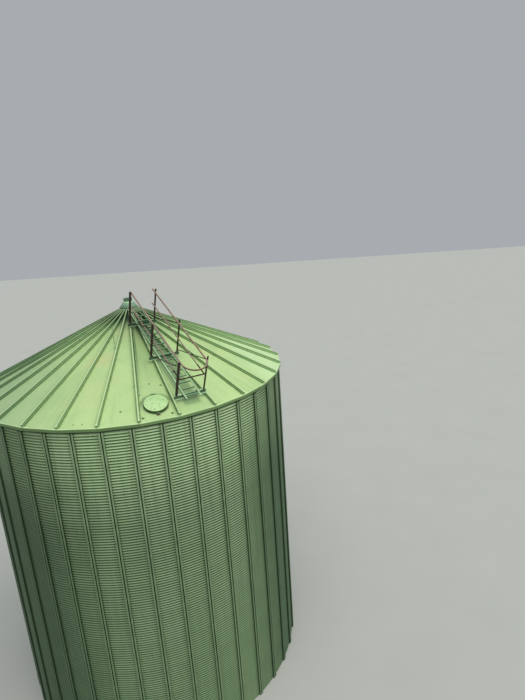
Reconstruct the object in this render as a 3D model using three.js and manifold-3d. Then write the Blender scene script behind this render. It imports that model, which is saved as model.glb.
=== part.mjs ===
// Grain silo: a round wall of bolted steel sheets with outside stiffeners, and a conical ribbed roof.
// Millimetres, +Z up. The origin is on the silo's axis at the ground. Azimuths are in degrees from +X; the
// roof hatch and the roof ladder are on the side that faces -Y.
import * as THREE from "three";
import { mergeVertices } from "three/addons/utils/BufferGeometryUtils.js";
import { ConvexGeometry } from "three/addons/geometries/ConvexGeometry.js";
import Module from "manifold-3d";

const wasm = await Module();
wasm.setup();

// Fits
const GAP = 0.3; // left between pieces that touch
const OVERLAP = 0.5; // shapes of one piece run this far into each other
const MERGE_DISTANCE = 0.001;

// Wall: corrugated sheets in rings, taken here as a plain shell as thick as the corrugation is deep
const WALL_RADIUS = 4572; // a silo of 9.144 m
const CORRUGATION_DEPTH = 18;
const RING_HEIGHT = 914.4; // twelve corrugations of 76.2 mm
const RING_COUNT = 11;
const SEGMENT_COUNT = 10;
const SEGMENT_STEPS = 12;
const WALL_HEIGHT = RING_HEIGHT * RING_COUNT;
const CREST_RADIUS = WALL_RADIUS + CORRUGATION_DEPTH / 2;
const VALLEY_RADIUS = WALL_RADIUS - CORRUGATION_DEPTH / 2;

// Wall stiffeners: a groove bolted to the wall, with a front face and a return on each side of it
const STIFFENERS_PER_SEGMENT = 4;
const STIFFENER_STEP = 360 / (SEGMENT_COUNT * STIFFENERS_PER_SEGMENT);
const FIRST_STIFFENER = -62.35; // its azimuth
const STIFFENER_HALF_WIDTH = 60;
const STIFFENER_DEPTH = 50;
const STIFFENER_SHEET = 4;
const STIFFENER_RETURN = 3; // the returns stop this far off the wall's crests
const GROOVE_HALF_WIDTH = 15;
const STIFFENER_BELOW_TOP = 35;

// Base ring: an angle inside the foot of the wall
const BASE_LEG = 70;
const BASE_SHEET = 8;

// Roof: flat panels between ribs, each with its outer edge turned down
const RIB_COUNT = 30;
const RIB_STEP = 360 / RIB_COUNT;
const FIRST_RIB = -78; // azimuth of the rib that starts the first roof sector
const RIBS_PER_SECTOR = RIB_COUNT / SEGMENT_COUNT;
const EAVE_RADIUS = 4668; // at the ribs
const ROOF_RISE = 2090;
const ROOF_SHEET = 4;
const LIP_HEIGHT = 80;
const PANEL_INNER_RADIUS = 235;

// Roof ribs: the panels' upstanding edges under a channel-shaped cap
const RIB_WEB = 8;
const PANEL_IN_WEB = 2; // inside the web, the panels end this far from its middle
const RIB_HEIGHT = 78;
const WEB_INNER_RADIUS = 232;
const WEB_PAST_EAVE = 1;
const CAP_INNER_RADIUS = 228;
const CAP_HALF_WIDTH = 22.5;
const CAP_CLEAR = 16; // from the panel up to the cap's sides
const CAP_SHEET = 4;
const CAP_SHORT_OF_EAVE = 22;

// Peak: a ring under the panels and a cone-shaped cap with the filling neck
const PEAK_RING_RADIUS = 220;
const PEAK_RING_FLANGE = 310;
const PEAK_RING_SHEET = 6;
const PEAK_RING_STAND = 60;
const PEAK_RIM_RADIUS = 270;
const PEAK_RIM_HEIGHT = 30;
const PEAK_SHOULDER_RADIUS = 154;
const PEAK_CONE_HEIGHT = 150;
const NECK_INNER_RADIUS = 124;
const NECK_OUTER_RADIUS = 130;
const NECK_HEIGHT = 100;
const NECK_FLANGE_RADIUS = 152;
const NECK_FLANGE_SHEET = 8;
const PEAK_SHEET = 4;
const PEAK_SIDES = 48;

// Hatch: a round lid on a collar, in the panel left of the ladder
const HATCH_AZIMUTH = -72;
const HATCH_UP = 520; // its centre, up the slope from the eave
const HATCH_HOLE_RADIUS = 262;
const COLLAR_INNER_RADIUS = 254;
const COLLAR_OUTER_RADIUS = 260;
const COLLAR_HEIGHT = 66;
const COLLAR_BELOW = 14;
const COLLAR_FLANGE_RADIUS = 302;
const COLLAR_FLANGE = 5;
const LID_RADIUS = 295;
const LID_SHEET = 5;
const LID_RIM_LOW = 44;
const LID_RIM_TOP = 84;
const LID_SHOULDER_RADIUS = 177;
const LID_SHOULDER = 91;
const LID_CROWN = 95;
const LID_SIDES = 48;
const HINGE_UP = 318; // the hinge axis, up the slope from the hatch's centre
const HINGE_HEIGHT = 44;
const HINGE_PIN_RADIUS = 8;
const HINGE_BORE_RADIUS = 8.8;
const HINGE_KNUCKLE_RADIUS = 15;
const HINGE_KNUCKLE_HALF = 35;
const HINGE_EAR_INNER = 41;
const HINGE_EAR_OUTER = 49;
const HINGE_EAR_HALF = 12;
const HINGE_PIN_HALF = 56;
const HINGE_SIDES = 24;
const LATCH_HALF_WIDTH = 45;
const LATCH_TIP_HALF_WIDTH = 16;
const LATCH_DROP = 62;
const LATCH_SHEET = 6;
const KEEPER_CLEAR = 6;
const KEEPER_POST_BACK = 12; // from the near edge of its plate

// Roof ladder, in the frame of its own panel: x across, y up the slope from the eave, z off the sheet
const LADDER_AZIMUTH = -60;
const MEMBER_SEAT = 79.3; // on the rib caps, which lean a little towards the panel
const MEMBER_HEIGHT = 100;
const MEMBER_FLANGE = 50;
const MEMBER_SHEET = 6;
const MEMBER_HALF_LENGTH = 437;
const FIRST_MEMBER_UP = 505;
const MEMBER_SPACING = 1695;
const MEMBER_COUNT = 3;
const LADDER_HALF_WIDTH = 209;
const LADDER_START = 280;
const LADDER_END = 4600;
const STRINGER_LEG = 40;
const STRINGER_SHEET = 5;
const RUNG_SIZE = 28;
const RUNG_SPACING = 250;
const RUNG_START = 400;

// Handrail on both sides of the ladder, closed by a bend at its lower end
const POST_HALF_SPACING = 372;
const POST_LEG = 50;
const POST_SHEET = 6;
const POST_TOP = 1235;
const RAIL_HEIGHT = 1175;
const RAIL_RADIUS = 21;
const RAIL_SIDES = 12;
const RAIL_END = 4010;
const BEND_STEPS = 16;
const MID_RAIL_HEIGHT = 700;
const MID_RAIL_RADIUS = 17;
const MID_RAIL_SIDES = 12;
const BRACE_WIDTH = 25;
const BRACE_SHEET = 5;
const BRACE_FOOT = 225;
const BRACE_TOP = 1110;

// Conduit beside a rib, and a small rod in an eye bracket
const CONDUIT_AZIMUTH = -72;
const CONDUIT_FROM_RIB = 60;
const CONDUIT_RADIUS = 10;
const CONDUIT_SIDES = 10;
const CONDUIT_START = 975;
const CONDUIT_END = 4400;
const CONDUIT_BOX = 46;
const CONDUIT_BOX_HEIGHT = 37;
const ROD_AZIMUTH = -96;
const ROD_ACROSS = 140;
const ROD_UP = 2955;
const ROD_HEIGHT = 640;
const ROD_RADIUS = 7;
const ROD_PLATE = 90;
const ROD_PLATE_SHEET = 6;

// Worked out from the sizes above
const HALF_STEP = THREE.MathUtils.degToRad(RIB_STEP / 2);
const EAVE_DISTANCE = EAVE_RADIUS * Math.cos(HALF_STEP); // from the axis to the middle of a panel's eave
const PANEL_SLOPE = Math.atan(ROOF_RISE / EAVE_DISTANCE);
const RIB_SLOPE = Math.atan(ROOF_RISE / EAVE_RADIUS);
const SHEET_DROP = ROOF_SHEET / Math.cos(PANEL_SLOPE);
const EAVE_HEIGHT = WALL_HEIGHT + GAP + SHEET_DROP - (EAVE_DISTANCE - CREST_RADIUS) * Math.tan(PANEL_SLOPE);
const MEMBER_TOP = MEMBER_SEAT + MEMBER_HEIGHT;
const PANEL_LENGTH = EAVE_DISTANCE / Math.cos(PANEL_SLOPE);

// Materials
const GREEN_SHEET = new THREE.MeshStandardMaterial({ color: 0xa9c98c, roughness: 0.55, metalness: 0.0 });
const GREEN_WALL = new THREE.MeshStandardMaterial({ color: 0x86a878, roughness: 0.55, metalness: 0.0 });
const GREEN_STEEL = new THREE.MeshStandardMaterial({ color: 0x8db583, roughness: 0.5, metalness: 0.0 });
const HATCH_GREEN = new THREE.MeshStandardMaterial({ color: 0xa8d09a, roughness: 0.5, metalness: 0.0 });
const BROWN_STEEL = new THREE.MeshStandardMaterial({ color: 0x5a4a42, roughness: 0.75, metalness: 0.0 });
const ZINC = new THREE.MeshStandardMaterial({ color: 0x9aa19c, roughness: 0.5, metalness: 0.6 });

const silo = new THREE.Group();

function piece(name, geometry, material, parent = silo) {
  const mesh = new THREE.Mesh(geometry, material);
  mesh.name = name;
  parent.add(mesh);
  return mesh;
}

function solidOf(geometry) {
  const bare = geometry.clone();
  bare.deleteAttribute("normal");
  bare.deleteAttribute("uv");
  const merged = mergeVertices(bare, MERGE_DISTANCE);
  return new wasm.Manifold(
    new wasm.Mesh({
      numProp: 3,
      vertProperties: merged.attributes.position.array,
      triVerts: new Uint32Array(merged.index.array),
    }),
  );
}

function geometryOf(solid) {
  const mesh = solid.getMesh();
  const geometry = new THREE.BufferGeometry();
  geometry.setAttribute("position", new THREE.BufferAttribute(mesh.vertProperties, 3));
  geometry.setIndex(new THREE.BufferAttribute(mesh.triVerts, 1));
  geometry.computeVertexNormals();
  return geometry;
}

function joined(shapes) {
  return geometryOf(shapes.map(solidOf).reduce((whole, shape) => whole.add(shape)));
}

function cutBy(shape, tools) {
  return geometryOf(tools.map(solidOf).reduce((whole, tool) => whole.subtract(tool), solidOf(shape)));
}

function block(x, y, z) {
  const box = new THREE.BoxGeometry(x[1] - x[0], y[1] - y[0], z[1] - z[0]);
  return box.translate((x[0] + x[1]) / 2, (y[0] + y[1]) / 2, (z[0] + z[1]) / 2);
}

function outline(points) {
  return new THREE.Shape(points.map(([x, y]) => new THREE.Vector2(x, y)));
}

function extruded(points, depth) {
  return new THREE.ExtrudeGeometry(outline(points), { depth, bevelEnabled: false });
}

// A closed profile of [radius, height] points, turned round the Z axis with a corner at the given azimuth.
function turned(profile, sides, azimuth = 0) {
  const closed = profile[0][0] === 0 ? profile : [...profile, profile[0]];
  const points = closed.map(([r, z]) => new THREE.Vector2(r, z));
  const start = THREE.MathUtils.degToRad(azimuth + 90);
  return new THREE.LatheGeometry(points, sides, start).rotateX(Math.PI / 2);
}

function polar(radius, azimuth) {
  const angle = THREE.MathUtils.degToRad(azimuth);
  return [radius * Math.cos(angle), radius * Math.sin(angle)];
}

// Wall segments
function stiffenerProfile() {
  const foot = GROOVE_HALF_WIDTH + STIFFENER_SHEET;
  const back = STIFFENER_DEPTH - STIFFENER_SHEET;
  const inner = STIFFENER_HALF_WIDTH - STIFFENER_SHEET;
  const right = [
    [foot, -CORRUGATION_DEPTH / 2],
    [foot, back],
    [inner, back],
    [inner, STIFFENER_RETURN],
    [STIFFENER_HALF_WIDTH, STIFFENER_RETURN],
    [STIFFENER_HALF_WIDTH, STIFFENER_DEPTH],
    [GROOVE_HALF_WIDTH, STIFFENER_DEPTH],
    [GROOVE_HALF_WIDTH, STIFFENER_SHEET],
  ];
  return [...right, ...right.map(([x, y]) => [-x, y]).reverse()];
}

function wallSegment(index) {
  const first = FIRST_STIFFENER + index * STIFFENERS_PER_SEGMENT * STIFFENER_STEP;
  const footAngle = THREE.MathUtils.radToDeg((GROOVE_HALF_WIDTH + STIFFENER_SHEET) / CREST_RADIUS);
  const gapAngle = THREE.MathUtils.radToDeg(GAP / VALLEY_RADIUS);
  const start = first - footAngle;
  const sweep = STIFFENERS_PER_SEGMENT * STIFFENER_STEP - gapAngle;
  const arc = [];
  for (let i = 0; i <= SEGMENT_STEPS; i++) {
    arc.push(start + (sweep * i) / SEGMENT_STEPS);
  }
  const outer = arc.map((azimuth) => polar(CREST_RADIUS, azimuth));
  const inner = arc.map((azimuth) => polar(VALLEY_RADIUS, azimuth)).reverse();
  const shapes = [extruded([...outer, ...inner], WALL_HEIGHT)];
  for (let i = 0; i < STIFFENERS_PER_SEGMENT; i++) {
    const azimuth = first + i * STIFFENER_STEP;
    shapes.push(
      extruded(stiffenerProfile(), WALL_HEIGHT - STIFFENER_BELOW_TOP)
        .translate(0, CREST_RADIUS, 0)
        .rotateZ(THREE.MathUtils.degToRad(azimuth - 90)),
    );
  }
  return joined(shapes);
}

for (let i = 0; i < SEGMENT_COUNT; i++) {
  piece(`wall_segment_${String(i + 1).padStart(2, "0")}`, wallSegment(i), GREEN_WALL);
}

// Base ring
function baseRing() {
  const outer = VALLEY_RADIUS - 2 * GAP;
  const profile = [
    [outer - BASE_LEG, 0],
    [outer, 0],
    [outer, BASE_LEG],
    [outer - BASE_SHEET, BASE_LEG],
    [outer - BASE_SHEET, BASE_SHEET],
    [outer - BASE_LEG, BASE_SHEET],
  ];
  return turned(profile, SEGMENT_COUNT * SEGMENT_STEPS, FIRST_STIFFENER);
}

piece("base_ring", baseRing(), ZINC);

// Roof sectors
function ribAzimuth(rib) {
  return FIRST_RIB + rib * RIB_STEP;
}

function ribHeight(radius) {
  return EAVE_HEIGHT + ROOF_RISE * (1 - radius / EAVE_RADIUS);
}

function panelHeight(distance) {
  return EAVE_HEIGHT + (EAVE_DISTANCE - distance) * Math.tan(PANEL_SLOPE);
}

// A point on a panel's side edge, moved by inset towards the panel's middle. Side 1 is the edge at the
// panel's own rib and side -1 the edge at the next one.
function edgePoint(rib, side, distance, inset, z) {
  const azimuth = THREE.MathUtils.degToRad(ribAzimuth(side === 1 ? rib : rib + 1));
  const along = (distance - inset * Math.sin(HALF_STEP)) / Math.cos(HALF_STEP);
  const across = inset * side;
  return new THREE.Vector3(
    along * Math.cos(azimuth) - across * Math.sin(azimuth),
    along * Math.sin(azimuth) + across * Math.cos(azimuth),
    z,
  );
}

// A plate between two distances from the axis, with its low and high z at each. Its sides stop the given
// insets short of the middle of its own rib and of the next one.
function panelPlate(rib, ownInset, farInset, near, far) {
  const corners = [];
  for (const { distance, low, high } of [near, far]) {
    for (const z of [low, high]) {
      corners.push(edgePoint(rib, 1, distance, ownInset, z));
      corners.push(edgePoint(rib, -1, distance, farInset, z));
    }
  }
  return new ConvexGeometry(corners);
}

function roofPanel(rib, farInset) {
  const inner = PANEL_INNER_RADIUS * Math.cos(HALF_STEP);
  const sheet = [inner, EAVE_DISTANCE].map((distance) => ({
    distance,
    low: panelHeight(distance) - SHEET_DROP,
    high: panelHeight(distance),
  }));
  const lipFace = EAVE_DISTANCE - OVERLAP;
  const lip = [lipFace - ROOF_SHEET, lipFace].map((distance) => ({
    distance,
    low: EAVE_HEIGHT - LIP_HEIGHT,
    high: EAVE_HEIGHT - ROOF_SHEET / 2,
  }));
  return [
    panelPlate(rib, PANEL_IN_WEB, farInset, ...sheet),
    panelPlate(rib, PANEL_IN_WEB + OVERLAP, farInset + OVERLAP, ...lip),
  ];
}

function ribWeb(rib) {
  const azimuth = THREE.MathUtils.degToRad(ribAzimuth(rib));
  const top = (RIB_HEIGHT - CAP_SHEET / 2) / Math.cos(RIB_SLOPE);
  const corners = [];
  for (const radius of [WEB_INNER_RADIUS, EAVE_RADIUS + WEB_PAST_EAVE]) {
    for (const across of [-RIB_WEB / 2, RIB_WEB / 2]) {
      for (const z of [ribHeight(radius) - SHEET_DROP / 2, ribHeight(radius) + top]) {
        corners.push(
          new THREE.Vector3(
            radius * Math.cos(azimuth) - across * Math.sin(azimuth),
            radius * Math.sin(azimuth) + across * Math.cos(azimuth),
            z,
          ),
        );
      }
    }
  }
  return new ConvexGeometry(corners);
}

function ribCap(rib) {
  const azimuth = THREE.MathUtils.degToRad(ribAzimuth(rib));
  const run = EAVE_RADIUS - CAP_INNER_RADIUS;
  const length = run / Math.cos(RIB_SLOPE) - CAP_SHORT_OF_EAVE;
  const inner = CAP_HALF_WIDTH - CAP_SHEET;
  const under = RIB_HEIGHT - CAP_SHEET;
  const profile = [
    [-CAP_HALF_WIDTH, CAP_CLEAR],
    [-inner, CAP_CLEAR],
    [-inner, under],
    [inner, under],
    [inner, CAP_CLEAR],
    [CAP_HALF_WIDTH, CAP_CLEAR],
    [CAP_HALF_WIDTH, RIB_HEIGHT],
    [-CAP_HALF_WIDTH, RIB_HEIGHT],
  ];
  const outward = new THREE.Vector3(Math.cos(azimuth), Math.sin(azimuth), 0);
  const across = new THREE.Vector3(-Math.sin(azimuth), Math.cos(azimuth), 0);
  const down = outward.clone().multiplyScalar(Math.cos(RIB_SLOPE));
  down.z = -Math.sin(RIB_SLOPE);
  const normal = new THREE.Vector3().crossVectors(down, across);
  const start = outward.multiplyScalar(CAP_INNER_RADIUS);
  start.z = ribHeight(CAP_INNER_RADIUS);
  const place = new THREE.Matrix4().makeBasis(across, normal, down).setPosition(start);
  return extruded(profile, length).applyMatrix4(place);
}

function roofSector(index) {
  const first = index * RIBS_PER_SECTOR;
  const shapes = [];
  for (let rib = first; rib < first + RIBS_PER_SECTOR; rib++) {
    const endsSector = rib === first + RIBS_PER_SECTOR - 1;
    shapes.push(...roofPanel(rib, endsSector ? RIB_WEB / 2 + GAP : PANEL_IN_WEB));
    shapes.push(ribWeb(rib), ribCap(rib));
  }
  return joined(shapes);
}

// The frame of a panel: x across, y up the slope from the middle of the eave, z off the sheet.
function panelFrame(azimuth) {
  const turn = new THREE.Group();
  turn.rotation.z = THREE.MathUtils.degToRad(azimuth + 90);
  const frame = new THREE.Group();
  frame.position.set(0, -EAVE_DISTANCE, EAVE_HEIGHT);
  frame.rotation.x = PANEL_SLOPE;
  turn.add(frame);
  silo.add(turn);
  turn.updateMatrixWorld(true);
  return frame;
}

const hatchPanel = panelFrame(HATCH_AZIMUTH);
const hatch = new THREE.Group();
hatch.position.set(0, HATCH_UP, 0);
hatchPanel.add(hatch);
hatchPanel.updateMatrixWorld(true);

for (let i = 0; i < SEGMENT_COUNT; i++) {
  let sector = roofSector(i);
  if (i === 0) {
    const hole = new THREE.CylinderGeometry(HATCH_HOLE_RADIUS, HATCH_HOLE_RADIUS, LID_RADIUS, LID_SIDES);
    sector = cutBy(sector, [hole.rotateX(Math.PI / 2).applyMatrix4(hatch.matrixWorld)]);
  }
  piece(`roof_sector_${String(i + 1).padStart(2, "0")}`, sector, GREEN_SHEET);
}

// Peak ring and peak cap
function peakRing() {
  const under = (radius) => ribHeight(radius) - SHEET_DROP - GAP;
  const wall = PEAK_RING_RADIUS + PEAK_RING_SHEET;
  const profile = [
    [PEAK_RING_RADIUS, under(PEAK_RING_RADIUS) - PEAK_RING_SHEET],
    [PEAK_RING_FLANGE, under(PEAK_RING_FLANGE) - PEAK_RING_SHEET],
    [PEAK_RING_FLANGE, under(PEAK_RING_FLANGE)],
    [wall, under(wall)],
    [wall, ribHeight(wall) + PEAK_RING_STAND],
    [PEAK_RING_RADIUS, ribHeight(wall) + PEAK_RING_STAND],
  ];
  return turned(profile, RIB_COUNT, FIRST_RIB);
}

function peakCap() {
  const rimInner = PEAK_RIM_RADIUS - PEAK_SHEET;
  const flat = rimInner * Math.cos(Math.PI / PEAK_SIDES); // the middle of one of its flat sides
  const nearest = Math.sqrt(flat ** 2 - CAP_HALF_WIDTH ** 2); // where a rib cap's edge passes under it
  const seat = ribHeight(nearest) + RIB_HEIGHT / Math.cos(RIB_SLOPE) + GAP;
  const eaves = seat + PEAK_RIM_HEIGHT;
  const shoulder = eaves + PEAK_CONE_HEIGHT;
  const flange = shoulder + NECK_HEIGHT;
  const profile = [
    [rimInner, seat],
    [PEAK_RIM_RADIUS, seat],
    [PEAK_RIM_RADIUS, eaves],
    [PEAK_SHOULDER_RADIUS, shoulder],
    [NECK_OUTER_RADIUS, shoulder],
    [NECK_OUTER_RADIUS, flange],
    [NECK_FLANGE_RADIUS, flange],
    [NECK_FLANGE_RADIUS, flange + NECK_FLANGE_SHEET],
    [NECK_INNER_RADIUS, flange + NECK_FLANGE_SHEET],
    [NECK_INNER_RADIUS, shoulder - PEAK_SHEET],
    [PEAK_SHOULDER_RADIUS - PEAK_SHEET, shoulder - PEAK_SHEET],
    [rimInner, eaves - PEAK_SHEET],
  ];
  return turned(profile, PEAK_SIDES);
}

piece("peak_ring", peakRing(), ZINC);
piece("peak_cap", peakCap(), GREEN_STEEL);

// Hatch
function hingeRod(radius, halfLength) {
  return new THREE.CylinderGeometry(radius, radius, 2 * halfLength, HINGE_SIDES)
    .rotateZ(Math.PI / 2)
    .translate(0, HINGE_UP, HINGE_HEIGHT);
}

function hatchCollar() {
  const tube = [
    [COLLAR_INNER_RADIUS, -COLLAR_BELOW],
    [COLLAR_OUTER_RADIUS, -COLLAR_BELOW],
    [COLLAR_OUTER_RADIUS, GAP],
    [COLLAR_FLANGE_RADIUS, GAP],
    [COLLAR_FLANGE_RADIUS, COLLAR_FLANGE],
    [COLLAR_OUTER_RADIUS, COLLAR_FLANGE],
    [COLLAR_OUTER_RADIUS, COLLAR_HEIGHT],
    [COLLAR_INNER_RADIUS, COLLAR_HEIGHT],
  ];
  const footEnd = HINGE_UP + HINGE_EAR_OUTER;
  const shapes = [
    turned(tube, LID_SIDES),
    block([-HINGE_PIN_HALF, HINGE_PIN_HALF], [COLLAR_OUTER_RADIUS, footEnd], [GAP, COLLAR_FLANGE]),
    hingeRod(HINGE_PIN_RADIUS, HINGE_PIN_HALF),
  ];
  for (const side of [-1, 1]) {
    const across = [side * HINGE_EAR_INNER, side * HINGE_EAR_OUTER].sort((a, b) => a - b);
    const along = [HINGE_UP - HINGE_EAR_HALF, HINGE_UP + HINGE_EAR_HALF];
    shapes.push(block(across, along, [GAP, HINGE_HEIGHT + HINGE_EAR_HALF]));
  }
  return joined(shapes);
}

function hatchLid() {
  const inner = LID_RADIUS - LID_SHEET;
  const pan = [
    [0, LID_CROWN - LID_SHEET],
    [LID_SHOULDER_RADIUS, LID_SHOULDER - LID_SHEET],
    [inner, LID_RIM_TOP - LID_SHEET],
    [inner, LID_RIM_LOW],
    [LID_RADIUS, LID_RIM_LOW],
    [LID_RADIUS, LID_RIM_TOP],
    [LID_SHOULDER_RADIUS, LID_SHOULDER],
    [0, LID_CROWN],
  ];
  const tab = extruded(
    [
      [-LATCH_HALF_WIDTH, -LID_RADIUS + LID_SHEET],
      [-LATCH_TIP_HALF_WIDTH, -LID_RADIUS - LATCH_DROP],
      [LATCH_TIP_HALF_WIDTH, -LID_RADIUS - LATCH_DROP],
      [LATCH_HALF_WIDTH, -LID_RADIUS + LID_SHEET],
    ],
    LATCH_SHEET,
  ).translate(0, 0, LID_RIM_LOW);
  const body = joined([
    turned(pan, LID_SIDES),
    block(
      [-HINGE_KNUCKLE_HALF, HINGE_KNUCKLE_HALF],
      [inner, HINGE_UP],
      [HINGE_HEIGHT, HINGE_HEIGHT + HINGE_EAR_HALF],
    ),
    hingeRod(HINGE_KNUCKLE_RADIUS, HINGE_KNUCKLE_HALF),
    tab,
  ]);
  return cutBy(body, [hingeRod(HINGE_BORE_RADIUS, HINGE_PIN_HALF)]);
}

// The staple that the lid's tab is locked to stands on the roof, downhill of the collar.
function hatchKeeper() {
  const near = -COLLAR_FLANGE_RADIUS - KEEPER_CLEAR;
  const far = near - LATCH_DROP;
  const plate = block([-LATCH_HALF_WIDTH, LATCH_HALF_WIDTH], [far, near], [GAP, COLLAR_FLANGE]);
  const top = LID_RIM_LOW - KEEPER_CLEAR;
  const post = block(
    [-LATCH_TIP_HALF_WIDTH, LATCH_TIP_HALF_WIDTH],
    [near - KEEPER_POST_BACK - LATCH_SHEET, near - KEEPER_POST_BACK],
    [GAP, top],
  );
  return joined([plate, post]);
}

piece("hatch_collar", hatchCollar(), GREEN_STEEL, hatch);
piece("hatch_lid", hatchLid(), HATCH_GREEN, hatch);
piece("hatch_keeper", hatchKeeper(), BROWN_STEEL, hatch);

// Roof ladder
const ladderPanel = panelFrame(LADDER_AZIMUTH);

function memberUp(index) {
  return FIRST_MEMBER_UP + index * MEMBER_SPACING;
}

// A profile of [up the slope, off the sheet] points, drawn out across the panel.
function across(profile, halfLength) {
  return extruded(profile, 2 * halfLength)
    .rotateX(Math.PI / 2)
    .rotateZ(Math.PI / 2)
    .translate(-halfLength, 0, 0);
}

// A Z-shaped bar: the lower flange points down the slope and the upper one up the slope.
function crossMember(index) {
  const web = memberUp(index);
  const inner = web + MEMBER_SHEET;
  return across(
    [
      [inner - MEMBER_FLANGE, MEMBER_SEAT],
      [inner, MEMBER_SEAT],
      [inner, MEMBER_TOP - MEMBER_SHEET],
      [web + MEMBER_FLANGE, MEMBER_TOP - MEMBER_SHEET],
      [web + MEMBER_FLANGE, MEMBER_TOP],
      [web, MEMBER_TOP],
      [web, MEMBER_SEAT + MEMBER_SHEET],
      [inner - MEMBER_FLANGE, MEMBER_SEAT + MEMBER_SHEET],
    ],
    MEMBER_HALF_LENGTH,
  );
}

function roofLadder() {
  const seat = MEMBER_TOP + GAP;
  const run = [LADDER_START, LADDER_END];
  const shapes = [];
  for (const side of [-1, 1]) {
    const edge = side * (LADDER_HALF_WIDTH + STRINGER_SHEET);
    const web = [side * LADDER_HALF_WIDTH, edge].sort((a, b) => a - b);
    const top = [side * (LADDER_HALF_WIDTH - STRINGER_LEG), edge].sort((a, b) => a - b);
    shapes.push(block(web, run, [seat, seat + STRINGER_LEG]));
    shapes.push(block(top, run, [seat + STRINGER_LEG - STRINGER_SHEET, seat + STRINGER_LEG]));
  }
  const rungTop = seat + STRINGER_LEG - STRINGER_SHEET + OVERLAP;
  for (let up = RUNG_START; up < LADDER_END; up += RUNG_SPACING) {
    const reach = LADDER_HALF_WIDTH + OVERLAP;
    shapes.push(block([-reach, reach], [up, up + RUNG_SIZE], [rungTop - RUNG_SIZE, rungTop]));
  }
  return joined(shapes);
}

for (let i = 0; i < MEMBER_COUNT; i++) {
  piece(`cross_member_${i + 1}`, crossMember(i), GREEN_STEEL, ladderPanel);
}
piece("roof_ladder", roofLadder(), GREEN_STEEL, ladderPanel);

// Handrail. A post is an angle that stands on its member's upper flange, with one leg across and the other
// along its outer side.
function railPost(index, side) {
  const front = memberUp(index);
  const outer = POST_HALF_SPACING + POST_LEG / 2;
  const leg = [side * (outer - POST_LEG), side * outer].sort((a, b) => a - b);
  const edge = [side * (outer - POST_SHEET), side * outer].sort((a, b) => a - b);
  const height = [MEMBER_TOP + GAP, POST_TOP];
  return joined([
    block(leg, [front, front + POST_SHEET], height),
    block(edge, [front, front + POST_LEG], height),
  ]);
}

// A round bar between two points.
function roundBar(radius, from, to, sides) {
  const start = new THREE.Vector3(...from);
  const run = new THREE.Vector3(...to).sub(start);
  const turn = new THREE.Quaternion().setFromUnitVectors(new THREE.Vector3(0, 1, 0), run.clone().normalize());
  const middle = start.addScaledVector(run, 0.5);
  const bar = new THREE.CylinderGeometry(radius, radius, run.length(), sides);
  return bar.applyQuaternion(turn).translate(middle.x, middle.y, middle.z);
}

function roundSection(radius, sides) {
  const ring = [];
  for (let i = 0; i < sides; i++) {
    const angle = (2 * Math.PI * i) / sides;
    ring.push([radius * Math.cos(angle), radius * Math.sin(angle)]);
  }
  return outline(ring);
}

// The tube runs down one side, round the foot of the ladder and up the other side.
function handrail() {
  const reach = POST_HALF_SPACING - POST_LEG / 2 - RAIL_RADIUS - GAP;
  const bend = [];
  for (let i = 0; i <= BEND_STEPS; i++) {
    const angle = Math.PI * (1 + i / BEND_STEPS);
    const up = FIRST_MEMBER_UP + reach * Math.sin(angle);
    bend.push(new THREE.Vector3(reach * Math.cos(angle), up, RAIL_HEIGHT));
  }
  const shapes = [
    new THREE.ExtrudeGeometry(roundSection(RAIL_RADIUS, RAIL_SIDES), {
      steps: BEND_STEPS,
      extrudePath: new THREE.CatmullRomCurve3(bend),
      bevelEnabled: false,
    }),
  ];
  for (const x of [-reach, reach]) {
    const low = [x, FIRST_MEMBER_UP - OVERLAP, RAIL_HEIGHT];
    shapes.push(roundBar(RAIL_RADIUS, low, [x, RAIL_END, RAIL_HEIGHT], RAIL_SIDES));
  }
  return joined(shapes);
}

// The middle rail is a lighter tube with square corners at the two lowest posts.
function midRail() {
  const reach = POST_HALF_SPACING - POST_LEG / 2 - MID_RAIL_RADIUS - GAP;
  const low = FIRST_MEMBER_UP;
  const shapes = [
    roundBar(MID_RAIL_RADIUS, [-reach, low, MID_RAIL_HEIGHT], [reach, low, MID_RAIL_HEIGHT], MID_RAIL_SIDES),
  ];
  for (const x of [-reach, reach]) {
    const from = [x, low - MID_RAIL_RADIUS, MID_RAIL_HEIGHT];
    shapes.push(roundBar(MID_RAIL_RADIUS, from, [x, RAIL_END, MID_RAIL_HEIGHT], MID_RAIL_SIDES));
  }
  return joined(shapes);
}

// A flat bar on the outside of two posts, from the foot of the upper one to the head of the lower one.
function brace(index, side) {
  const inner = POST_HALF_SPACING + POST_LEG / 2 + GAP;
  const low = new THREE.Vector2(memberUp(index) + POST_LEG / 2, BRACE_TOP);
  const high = new THREE.Vector2(memberUp(index + 1) + POST_LEG / 2, BRACE_FOOT);
  const half = high.clone().sub(low).normalize().multiplyScalar(BRACE_WIDTH / 2);
  const end = high.clone().add(half);
  const start = low.clone().sub(half);
  const profile = [
    [start.x - half.y, start.y + half.x],
    [start.x + half.y, start.y - half.x],
    [end.x + half.y, end.y - half.x],
    [end.x - half.y, end.y + half.x],
  ];
  return across(profile, BRACE_SHEET / 2).translate(side * (inner + BRACE_SHEET / 2), 0, 0);
}

for (let i = 0; i < MEMBER_COUNT; i++) {
  piece(`handrail_post_left_${i + 1}`, railPost(i, -1), BROWN_STEEL, ladderPanel);
  piece(`handrail_post_right_${i + 1}`, railPost(i, 1), BROWN_STEEL, ladderPanel);
}
piece("handrail", handrail(), BROWN_STEEL, ladderPanel);
piece("mid_rail", midRail(), BROWN_STEEL, ladderPanel);
for (let i = 0; i < MEMBER_COUNT - 1; i++) {
  piece(`brace_left_${i + 1}`, brace(i, -1), BROWN_STEEL, ladderPanel);
  piece(`brace_right_${i + 1}`, brace(i, 1), BROWN_STEEL, ladderPanel);
}

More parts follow.
